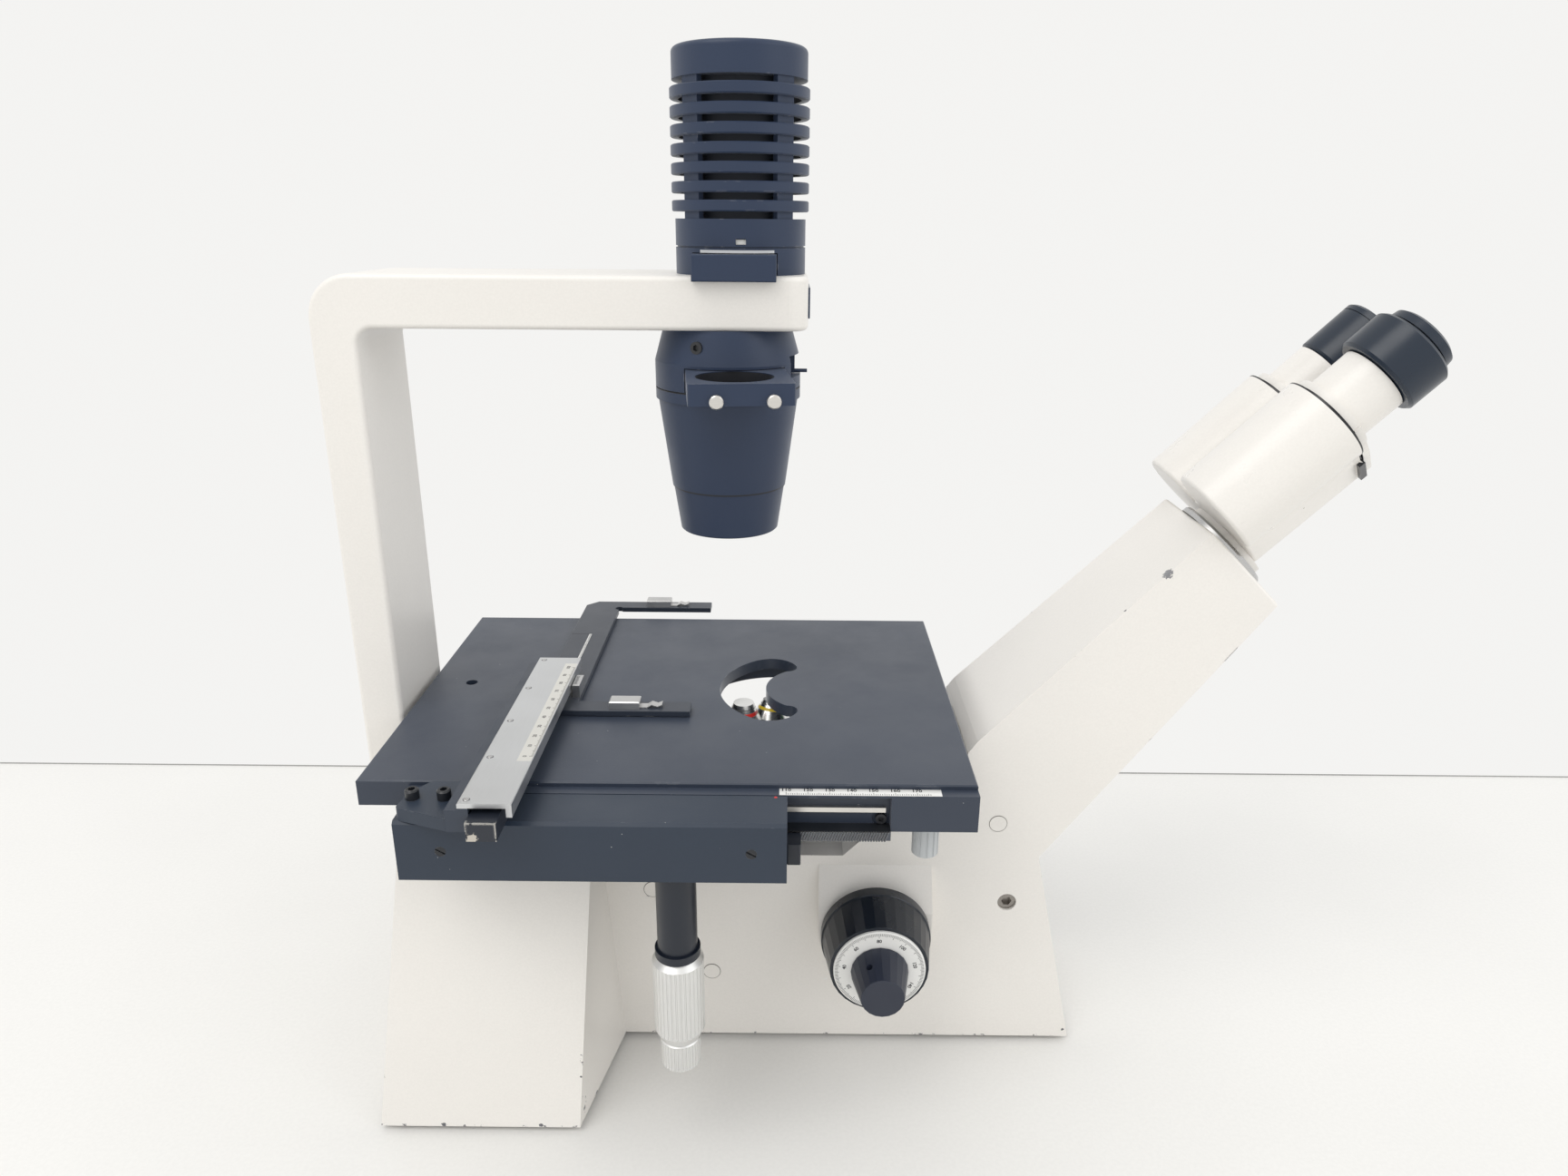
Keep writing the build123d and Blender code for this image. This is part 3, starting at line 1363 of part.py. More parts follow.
def near_barrel():
    """Stem, wide barrel and the spigot that carries the diopter ring."""
    edge = eyepiece_edge
    groove = eyepiece_barrel_length - eyecup_neck
    top = eyepiece_barrel_length + eyecup_length
    shape = turned([(0, -eyepiece_stem_length), (eyepiece_stem_radius, -eyepiece_stem_length),
                    (eyepiece_stem_radius, 0), (eyepiece_barrel_radius - edge, 0),
                    (eyepiece_barrel_radius, edge), (eyepiece_barrel_radius, groove - edge),
                    (eyepiece_barrel_radius - edge, groove), (spigot_radius, groove),
                    (spigot_radius, top - running_clearance), (0, top - running_clearance)])
    return shape - eyepiece_bore(top)


def diopter_ring():
    """Turning cup on the near eyepiece, with a narrow neck under it."""
    edge = eyepiece_edge
    neck = eyepiece_barrel_length
    low = neck - eyecup_neck + shaft_gap
    top = neck + eyecup_length
    bore = spigot_radius + shaft_gap
    return turned([(bore, low), (eyecup_neck_radius, low), (eyecup_neck_radius, neck), (eyecup_radius, neck),
                   (eyecup_radius - edge / 2, top - edge), (eyecup_radius - edge * 2, top), (bore, top)])


def far_barrel():
    """Plain eyepiece with one fine line near its end."""
    edge = eyepiece_edge
    radius, top = far_barrel_radius, far_barrel_length
    deep, wide = far_line_size
    line = top - far_line_drop
    shape = turned([(0, -eyepiece_stem_length), (eyepiece_stem_radius, -eyepiece_stem_length),
                    (eyepiece_stem_radius, 0), (radius - edge, 0), (radius, edge), (radius, line - wide),
                    (radius - deep, line - wide), (radius - deep, line), (radius, line), (radius, top - edge),
                    (radius - edge, top), (0, top)])
    return shape - eyepiece_bore(top)


def fittings():
    plugs = []
    for x, z in plug_places:
        face = body_half_width(z)
        plug = rod_y(plug_radius, -face - plug_proud, -face + plug_depth, x, z)
        plugs.append(chamfer(plug.edges().sort_by(Axis.Y)[0], plug_proud))
    save("side_plugs", *plugs)
    cap = padded(front_cap_size[0], front_cap_size[1], front_boss_size[2],
                 front_boss_size[2] + front_cap_size[2],
                 casting_edge_radius * 2)
    cap = softened(cap, cap.faces().sort_by(Axis.Z)[-1].edges(), front_cap_size[2] / 2)
    save("port_cap", front_place(front_cap_z) * cap)

    top = casting_bottom + plate_recess
    deep, wide, tall = supply_size
    box = block((supply_front - deep, supply_front), (-wide / 2, wide / 2), (top, top + tall))
    thick, span, depth = supply_vent
    for step in range(supply_vent_count):
        x = supply_front - deep / 2 + (step - (supply_vent_count - 1) / 2) * thick * 2
        box = box - block((x - thick / 2, x + thick / 2), (-span / 2, span / 2),
                          (top + tall - depth, top + tall + overrun))
    save("power_supply", box)

    wide, high, thick = inlet_flange_size
    flange = block((inlet_face - thick, inlet_face), (inlet_y - wide / 2, inlet_y + wide / 2),
                   (inlet_z - high / 2, inlet_z + high / 2))
    wide, high, deep = inlet_body_size
    body = block((inlet_face, inlet_face + deep), (inlet_y - wide / 2, inlet_y + wide / 2),
                 (inlet_z - high / 2, inlet_z + high / 2))
    wide, high, deep = inlet_cavity
    inside = block((inlet_face - overrun, inlet_face + deep), (inlet_y - wide / 2, inlet_y + wide / 2),
                   (inlet_z - high / 2, inlet_z + high / 2))
    shape = flange + body - inside
    thin, tall, long = inlet_pin
    for step in (-1, 0, 1):
        y = inlet_y + step * inlet_pin_spacing
        shape = shape + block((inlet_face + deep - long, inlet_face + deep + running_clearance),
                              (y - thin / 2, y + thin / 2), (inlet_z - tall / 2, inlet_z + tall / 2))
    save("power_inlet", shape)

    length, height, thick = switch_bezel
    bezel = block((switch_x - length / 2, switch_x + length / 2), (switch_face, switch_face + thick),
                  (switch_z - height / 2, switch_z + height / 2))
    save("switch_bezel", bezel - switch_opening(switch_face - overrun, switch_face + thick + overrun))
    length, height, deep = rocker_size
    middle = switch_face + switch_bezel[2] / 2
    rocker = [(-length / 2, -deep / 2), (length / 2, -deep / 2), (length / 2, deep / 2),
              (0, deep / 2 - rocker_dish),
              (-length / 2, deep / 2)]
    points = Polyline([(switch_x + x, middle + y, switch_z - height / 2) for x, y in rocker], close=True)
    rocker = extrude(make_face(points), amount=height, dir=(0, 0, 1))
    reach = height / 2 + rocker_gap - shaft_gap
    pin = rod(rocker_pin_radius, switch_z - reach, switch_z + reach, switch_x, middle - deep / 4)
    save("power_switch", rocker + pin)

    face = body_half_width_low + knob_gap
    knob = rod(knob_radius, 0, knob_length)
    knob = chamfer(knob.edges().sort_by(Axis.Z)[-1], rib_chamfer * 2)
    knob = knob - fused(ring_of(rod(knurl_depth, rib_chamfer * 2, knob_length + overrun, knob_radius, 0),
                                knurl_count // 2))
    knob = knob + rod(knob_stem_radius, -knob_stem_length, running_clearance)
    save("brightness_knob", Pos(knob_x, face, switch_z) * Rot(-90, 0, 0) * knob)


os.makedirs("parts", exist_ok=True)
stand_body()
base_plate()
rubber_feet()
column_arm()
lamp()
lamp_carrier()
set_screws(condenser())
lenses()
slider()
iris()
stage()
rack()
carriage()
cross_bar()
holder()
drive_knobs()
nosepiece()
focus_drive()
head()
fittings()
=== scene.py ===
"""Looks of the inverted microscope: camera, light, materials and the small marks on its scales."""
import bpy
import bmesh
from math import cos, pi, radians, sin
from mathutils import Matrix, Vector


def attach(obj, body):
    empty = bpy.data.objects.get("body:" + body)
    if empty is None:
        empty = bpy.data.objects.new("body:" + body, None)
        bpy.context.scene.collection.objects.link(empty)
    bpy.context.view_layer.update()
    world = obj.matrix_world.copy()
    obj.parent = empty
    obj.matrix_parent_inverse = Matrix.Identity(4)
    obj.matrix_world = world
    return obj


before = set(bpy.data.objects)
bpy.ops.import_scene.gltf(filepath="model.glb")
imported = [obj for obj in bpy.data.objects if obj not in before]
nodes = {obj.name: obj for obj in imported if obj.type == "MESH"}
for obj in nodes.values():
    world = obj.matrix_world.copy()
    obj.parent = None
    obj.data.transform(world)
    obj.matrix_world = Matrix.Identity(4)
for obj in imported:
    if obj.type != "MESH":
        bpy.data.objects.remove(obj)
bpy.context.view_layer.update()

# ---- Directions, places and colours that several functions share; places are in millimetres
MM = 0.001
X, Y, Z = (1, 0, 0), (0, 1, 0), (0, 0, 1)
SLANT = 0.70711
TUBE = (SLANT, 0, SLANT)
FLANK = (0.5, -SLANT, -0.5)
HEAD_ZERO = (250.5 + 281.5) * SLANT
RAIL_TOP = 195.7
STRIP_THICKNESS = 0.22
BAR_TOP = 212.2
KNOB_AXIS = (72.6, 80.6)
TURRET_TILT, TURRET_RADIUS, TURRET_TOP = radians(10), 18.2, 189.0
OBJECTIVE_LENGTHS = (36.0, 30.0, 32.0, 33.0)
OBJECTIVES = {"red": (0.62, 0.035, 0.03), "yellow": (0.80, 0.58, 0.05), "green": (0.05, 0.35, 0.12),
              "blue": (0.06, 0.16, 0.5)}

WALL = (0.905, 0.90, 0.885, 1)
ROOM_LIGHT = 1.07
CREAM = (0.80, 0.772, 0.728)
SLATE = (0.017, 0.031, 0.068)
CHIP = (0.12, 0.12, 0.13)
# Near-black for dark joints and the black stop, and for painted shade in the head's gap and in the slider's pocket
BLACK_AND_SHADE = (0.012, 0.013, 0.017)
RUBBED = (0.13, 0.14, 0.16)

# The camera, solved from the straight edges in the photograph
CAMERA_PLACE = (23.6, -530.5, 442.6)
CAMERA_YAW, CAMERA_PITCH, CAMERA_ROLL = radians(0.17), radians(19.32), radians(0.43)
FOCAL_PIXELS, PHOTO_WIDTH, SENSOR_WIDTH = 1156.4, 1728.0, 36.0


def mm(*place):
    """A place or an offset given in millimetres, as a vector in metres."""
    return Vector([c * MM for c in place])


# ---- Camera and light
def make_camera():
    up = Vector(Z)
    ahead = Vector((-sin(CAMERA_YAW), cos(CAMERA_YAW), 0))
    side = Vector((cos(CAMERA_YAW), sin(CAMERA_YAW), 0))
    look = ahead * cos(CAMERA_PITCH) - up * sin(CAMERA_PITCH)
    over = up * cos(CAMERA_PITCH) + ahead * sin(CAMERA_PITCH)
    right = side * cos(CAMERA_ROLL) + over * sin(CAMERA_ROLL)
    top = over * cos(CAMERA_ROLL) - side * sin(CAMERA_ROLL)
    data = bpy.data.cameras.new("photo_camera")
    data.sensor_width = SENSOR_WIDTH
    data.lens = FOCAL_PIXELS * SENSOR_WIDTH / PHOTO_WIDTH
    data.clip_start = 0.02
    data.clip_end = 30.0
    cam = bpy.data.objects.new("photo_camera", data)
    turn = Matrix((right, top, -look)).transposed().to_4x4()
    cam.matrix_world = Matrix.Translation(mm(*CAMERA_PLACE)) @ turn
    bpy.context.scene.collection.objects.link(cam)
    bpy.context.scene.camera = cam


def area_light(name, place, target, size, power, colour):
    data = bpy.data.lights.new(name, "AREA")
    data.shape = "SQUARE"
    data.size = size
    data.energy = power
    data.color = colour
    lamp = bpy.data.objects.new(name, data)
    lamp.location = place
    lamp.rotation_euler = (Vector(target) - Vector(place)).to_track_quat("-Z", "Y").to_euler()
    bpy.context.scene.collection.objects.link(lamp)


def make_light():
    """Even room light, a pale wall for the camera, gloss and glass, and two soft lamps."""
    world = bpy.data.worlds.new("pale_room")
    bpy.context.scene.world = world
    world.use_nodes = True
    tree = world.node_tree
    room = tree.nodes["Background"]
    room.inputs["Color"].default_value = (0.93, 0.935, 0.94, 1)
    room.inputs["Strength"].default_value = ROOM_LIGHT
    wall = tree.nodes.new("ShaderNodeBackground")
    wall.inputs["Color"].default_value = WALL
    wall.inputs["Strength"].default_value = 1.0
    path = tree.nodes.new("ShaderNodeLightPath")
    seen = path.outputs["Is Camera Ray"]
    for name in ("Is Glossy Ray", "Is Transmission Ray"):
        either = tree.nodes.new("ShaderNodeMath")
        either.operation = "MAXIMUM"
        tree.links.new(seen, either.inputs[0])
        tree.links.new(path.outputs[name], either.inputs[1])
        seen = either.outputs[0]
    both = tree.nodes.new("ShaderNodeMixShader")
    tree.links.new(seen, both.inputs[0])
    tree.links.new(room.outputs[0], both.inputs[1])
    tree.links.new(wall.outputs[0], both.inputs[2])
    tree.links.new(both.outputs[0], tree.nodes["World Output"].inputs["Surface"])
    area_light("key", (-1.0, -1.1, 2.5), (0, 0, 0.15), 1.6, 21, (1.0, 0.985, 0.955))
    area_light("fill", (1.9, -0.9, 1.5), (0.05, 0, 0.2), 1.6, 8, (0.97, 0.985, 1.0))


# ---- Materials
class Nodes:
    """Short names for building one node material."""

    def __init__(self, name):
        self.mat = bpy.data.materials.new(name)
        self.mat.use_nodes = True
        self.tree = self.mat.node_tree
        self.shader = self.tree.nodes["Principled BSDF"]
        self.place = self.add("ShaderNodeTexCoord").outputs["Object"]

    def add(self, kind, **values):
        node = self.tree.nodes.new(kind)
        for key, value in values.items():
            setattr(node, key, value)
        return node

    def put(self, value, socket):
        """Link an output to a socket, or set a number or a colour on it."""
        if hasattr(value, "links"):
            self.tree.links.new(value, socket)
        elif isinstance(value, (int, float)):
            socket.default_value = value
        else:
            socket.default_value = (*value, 1)

    def noise(self, scale, detail=3.0, rough=0.5, stretch=None):
        node = self.add("ShaderNodeTexNoise")
        node.inputs["Scale"].default_value = scale
        node.inputs["Detail"].default_value = detail
        node.inputs["Roughness"].default_value = rough
        source = self.place
        if stretch:
            mapping = self.add("ShaderNodeMapping")
            mapping.inputs["Scale"].default_value = stretch
            self.put(source, mapping.inputs["Vector"])
            source = mapping.outputs["Vector"]
        self.put(source, node.inputs["Vector"])
        return node.outputs["Fac"]

    def ramp(self, source, low, high, start=0.0, end=1.0):
        node = self.add("ShaderNodeMapRange")
        for name, value in (("From Min", low), ("From Max", high), ("To Min", start), ("To Max", end)):
            node.inputs[name].default_value = value
        self.put(source, node.inputs["Value"])
        return node.outputs["Result"]

    def mix(self, share, first, second):
        node = self.add("ShaderNodeMix", data_type="RGBA")
        for value, socket in ((share, node.inputs[0]), (first, node.inputs[6]), (second, node.inputs[7])):
            self.put(value, socket)
        return node.outputs[2]

    def math(self, operation, first, second):
        node = self.add("ShaderNodeMath", operation=operation)
        self.put(first, node.inputs[0])
        self.put(second, node.inputs[1])
        return node.outputs[0]

    def bump(self, height, strength, distance):
        node = self.add("ShaderNodeBump")
        node.inputs["Strength"].default_value = strength
        node.inputs["Distance"].default_value = distance
        self.put(height, node.inputs["Height"])
        self.put(node.outputs["Normal"], self.shader.inputs["Normal"])

    def edges(self, radius):
        """High along sharp edges, where paint and metal wear first; on the rack it places painted highlights."""
        bevel = self.add("ShaderNodeBevel", samples=4)
        bevel.inputs["Radius"].default_value = radius
        plain = self.add("ShaderNodeNewGeometry")
        dot = self.add("ShaderNodeVectorMath", operation="DOT_PRODUCT")
        self.put(bevel.outputs["Normal"], dot.inputs[0])
        self.put(plain.outputs["Normal"], dot.inputs[1])
        return self.ramp(dot.outputs["Value"], 0.995, 0.86)

    def between(self, value, low, high, soft):
        """1 where a length in metres lies between two lengths in millimetres."""
        rise = self.ramp(value, (low - soft) * MM, (low + soft) * MM)
        fall = self.ramp(value, (high - soft) * MM, (high + soft) * MM, 1.0, 0.0)
        return self.math("MULTIPLY", rise, fall)

    def band(self, direction, low, high, soft=0.05):
        """1 between two distances along a direction, given in millimetres."""
        dot = self.add("ShaderNodeVectorMath", operation="DOT_PRODUCT")
        self.put(self.place, dot.inputs[0])
        dot.inputs[1].default_value = direction
        return self.between(dot.outputs["Value"], low, high, soft)

    def room(self, *bands):
        """1 inside all of the bands."""
        mask = self.band(*bands[0])
        for item in bands[1:]:
            mask = self.math("MULTIPLY", mask, self.band(*item))
        return mask

    def ring(self, centre, low, high, scale=(1, 0, 1)):
        """1 between two distances from a centre, measured across the directions kept by scale."""
        flat = self.add("ShaderNodeVectorMath", operation="MULTIPLY")
        self.put(self.place, flat.inputs[0])
        flat.inputs[1].default_value = scale
        far = self.add("ShaderNodeVectorMath", operation="DISTANCE")
        self.put(flat.outputs["Vector"], far.inputs[0])
        far.inputs[1].default_value = [c * MM * k for c, k in zip(centre, scale)]
        return self.between(far.outputs["Value"], low, high, 0.04)

    def chip(self, centre, radius):
        """A ragged patch round a place."""
        far = self.add("ShaderNodeVectorMath", operation="DISTANCE")
        self.put(self.place, far.inputs[0])
        far.inputs[1].default_value = [c * MM for c in centre]
        ragged = self.ramp(self.noise(700.0, 4, 0.7), 0.25, 0.75, -0.7 * radius * MM, 0.7 * radius * MM)
        value = self.math("ADD", far.outputs["Value"], ragged)
        return self.ramp(value, radius * 0.95 * MM, radius * 1.05 * MM, 1.0, 0.0)

    def specks(self, scale, size, share):
        """Sparse small grains of dust."""
        cells = self.add("ShaderNodeTexVoronoi")
        cells.inputs["Scale"].default_value = scale
        self.put(self.place, cells.inputs["Vector"])
        near = self.ramp(cells.outputs["Distance"], size * 0.7, size, 1.0, 0.0)
        picked = self.add("ShaderNodeSeparateColor")
        self.put(cells.outputs["Color"], picked.inputs[0])
        return self.math("MULTIPLY", near, self.ramp(picked.outputs[0], share, share + 0.01, 1.0, 0.0))


def painted(name, colour, rough=0.42, grain=1500.0, grain_depth=0.12, mottle=0.04, wear=None,
            wear_colour=(0.2, 0.2, 0.2), wear_scale=55.0, wear_cut=0.62, scuff=0.05, patches=None, gloss=0.5,
            sheen=0.0, dust=0.0):
    """Painted or moulded surface: fine grain, faint colour drift, scuffs in the gloss and worn edges."""
    n = Nodes(name)
    dark = tuple(c * (1 - mottle) for c in colour)
    light = tuple(min(1, c * (1 + mottle)) for c in colour)
    base = n.mix(n.ramp(n.noise(9.0, 4), 0.3, 0.7), dark, light)
    fine = n.noise(grain, 2)
    base = n.mix(n.ramp(fine, 0.35, 0.65, 0.0, 0.18), base, tuple(c * 0.86 for c in colour))
    if wear:
        chip = n.ramp(n.noise(wear_scale, 5, 0.65), wear_cut, wear_cut + 0.03)
        worn = n.math("MULTIPLY", n.edges(wear), chip)
        base = n.mix(worn, base, wear_colour)
    if dust:
        base = n.mix(n.specks(210.0, 0.05, dust), base, (0.42, 0.42, 0.42))
    for mask, tint in patches(n) if patches else ():
        base = n.mix(mask, base, tint)
    n.put(base, n.shader.inputs["Base Color"])
    n.put(n.ramp(n.noise(34.0, 5, 0.6), 0.3, 0.7, rough - scuff, rough + scuff), n.shader.inputs["Roughness"])
    n.shader.inputs["Specular IOR Level"].default_value = gloss
    if sheen:
        n.shader.inputs["Sheen Weight"].default_value = sheen
        n.shader.inputs["Sheen Roughness"].default_value = 0.45
        n.shader.inputs["Sheen Tint"].default_value = (0.86, 0.91, 1.0, 1)
    n.bump(fine, grain_depth, 0.00012)
    return n.mat


def metal(name, colour, rough=0.3, brush=(1.0, 1.0, 60.0), drift=0.08, bump=0.06, parts=None):
    """Brushed or turned metal with fine lines and a little staining; parts are painted or darkened places, and on the
    rack painted highlights.
    """
    n = Nodes(name)
    lines = n.noise(90.0, 3, 0.6, brush)
    base = n.mix(n.ramp(lines, 0.3, 0.7), tuple(c * (1 - drift) for c in colour), colour)
    rough_map = n.ramp(n.noise(60.0, 4), 0.3, 0.7, rough - 0.06, rough + 0.08)
    bare = None
    for mask, tint, metallic in parts(n) if parts else ():
        base = n.mix(mask, base, tint)
        if not metallic:
            left = n.math("SUBTRACT", 1.0, mask)
            bare = n.math("MULTIPLY", bare, left) if bare else left
    n.put(base, n.shader.inputs["Base Color"])
    n.put(rough_map, n.shader.inputs["Roughness"])
    n.shader.inputs["Metallic"].default_value = 1.0
    if bare:
        n.put(bare, n.shader.inputs["Metallic"])
    n.bump(lines, bump, 0.0001)
    return n.mat


def glass(name, tint):
    """Clear glass with a faint haze of dust in its gloss."""
    n = Nodes(name)
    n.shader.inputs["Base Color"].default_value = (*tint, 1)
    n.shader.inputs["Transmission Weight"].default_value = 1.0
    n.shader.inputs["IOR"].default_value = 1.5
    n.put(n.ramp(n.noise(70.0, 4), 0.45, 0.8, 0.02, 0.12), n.shader.inputs["Roughness"])
    return n.mat


# ---- Painted places: each function returns masks with their colours
def stand_chips(n):
    """Chipped paint that the casting shows, and a ragged line of it along the bottom edges."""
    ragged = n.ramp(n.noise(160.0, 5, 0.7), 0.58, 0.62)
    foot = n.math("MULTIPLY", n.band(Z, 2.0, 4.0), ragged)
    corner = n.math("MULTIPLY", n.room((Z, 4.0, 60.0), (X, -79.3, -77.8)), n.ramp(n.noise(210.0, 4, 0.7), 0.64, 0.67))
    rear = n.math("MULTIPLY", n.room((Z, 4.0, 60.0), (X, -182.5, -179.2)), n.ramp(n.noise(150.0, 4, 0.7), 0.6, 0.63))
    large = (n.chip((212.6, -34.6, 278.2), 2.6), (0.22, 0.22, 0.23))
    small = (((193.6, -35.9, 258.7), 0.7), ((183.2, -47.5, 7.6), 0.8), ((-78.6, -108.3, 9.0), 1.2),
             ((-79.0, -109.6, 30.5), 0.6), ((-150.0, -115.0, 4.0), 1.1), ((-100.0, -115.0, 4.0), 0.9))
    return [(foot, CHIP), (corner, CHIP), (rear, CHIP), large] + [(n.chip(*item), CHIP) for item in small]


def plug_rims(n):
    """Fine shadow round each of the three side plugs."""
    rims = [n.ring(centre, 4.55, 6.0) for centre in ((137.5, 0, 139.2), (-16.6, 0, 44.6), (-48.4, 0, 97.0))]
    return [(rim, (0.20, 0.19, 0.17)) for rim in rims]


def head_gap(n):
    """Painted shade in the gap under the two swing plates, the black stop on the near flank, and one chip."""
    stop = n.room((TUBE, HEAD_ZERO + 70.4, HEAD_ZERO + 74.4), (FLANK, 3.75, 12.0), (Z, 300.0, 333.9))
    # The band along the tube is painted shade: near-black where the gap under the swing plates lies in shade.
    return [(n.band(TUBE, HEAD_ZERO + 73.2, HEAD_ZERO + 75.1), BLACK_AND_SHADE), (stop, BLACK_AND_SHADE),
            (n.chip((278.4, -27.3, 310.3), 0.5), (0.3, 0.26, 0.2))]


def seams(n):
    """Fine joints of the condenser, painted shade in the pocket of its slider, and the bright strip over the lamp's
    tab.
    """
    # Painted shade: near-black inside the slider's hollow pocket, where shade falls.
    pocket = n.math("MULTIPLY", n.ring((-0.9, -52.8, 0), -1.0, 18.2, (1, 1, 0)), n.band(Z, 360.0, 375.6))
    strip = n.room((Z, 428.2, 429.5), (Y, -33.0, -22.0), (X, -17.5, 16.5))
    return [(n.band(Z, 313.8, 314.7), BLACK_AND_SHADE), (n.band(Z, 364.0, 364.9), BLACK_AND_SHADE), (pocket, BLACK_AND_SHADE),
            (strip, (0.62, 0.63, 0.64))]


def slide_chips(n):
    """Bare metal on the front edge of the holder's slide."""
    front = n.math("MULTIPLY", n.band(Y, -157.0, -153.2), n.ramp(n.noise(240.0, 4, 0.7), 0.5, 0.53))
    worn = n.math("MULTIPLY", front, n.edges(0.0016))
    return [(worn, (0.55, 0.53, 0.48)), (n.chip((-106.0, -155.6, 200.0), 2.2), (0.50, 0.46, 0.40))]


def bar_parts(n):
    """Black guide under the silver cover, and the lighter strip that carries the scale."""
    black = (0.030, 0.040, 0.060)
    under = n.room((Z, 190.0, 209.9), (X, -125.0, -95.0))
    side = n.room((Z, 190.0, 214.0), (X, -125.0, -113.7))
    strip = n.room((Z, 212.0, 213.0), (X, -97.4, -90.9), (Y, -111.5, -1.5))
    return [(strip, (0.80, 0.79, 0.75), True), (under, black, False), (side, black, False)]


def screw_parts(n):
    """Black screws of the condenser and the rail block, a bright one beside them and a dull one on the body."""
    black = (0.02, 0.021, 0.024)
    return [(n.band(Z, 380.0, 392.0), black, False), (n.band(Z, 178.0, 184.8), black, False),
            (n.band(Z, 185.0, 189.0), (0.74, 0.72, 0.68), True), (n.band(Z, 80.0, 100.0), (0.30, 0.28, 0.26), True)]


def rack_highlights(n):
    """Painted highlight along the edges of the rack's teeth, where their faces catch the light."""
    return [(n.edges(0.00025), (0.50, 0.49, 0.47), True)]


def seat_of(step):
    """Place and axis of one objective on the turret, in millimetres."""
    middle = (TURRET_RADIUS * cos(TURRET_TILT), 0, TURRET_TOP - OBJECTIVE_LENGTHS[0] - TURRET_RADIUS * sin(TURRET_TILT))
    place = Matrix.Translation(middle) @ Matrix.Rotation(TURRET_TILT, 4, "Y")
    seat = place @ Matrix.Rotation(radians(180 - 72 * step), 4, "Z") @ Matrix.Translation((TURRET_RADIUS, 0, 0))
    seat = seat @ Matrix.Rotation(TURRET_TILT, 4, "Y")
    return seat @ Vector((0, 0, 0)), (seat.to_3x3() @ Vector(Z)).normalized()


def objective_chrome(step, colour):
    """Satin chrome with a coloured ring near the front and two fine dark lines, placed by shares of the length."""
    base, axis = seat_of(step)
    long, start = OBJECTIVE_LENGTHS[step], base.dot(axis)
    rings = ((0.83, 0.885, colour), (0.655, 0.67, (0.03, 0.03, 0.03)), (0.93, 0.94, (0.05, 0.05, 0.05)))

    def parts(n):
        return [(n.band(tuple(axis), start + low * long, start + high * long), tint, False)
                for low, high, tint in rings]
    return metal("objective_chrome_%d" % step, (0.82, 0.82, 0.81), 0.24, parts=parts)


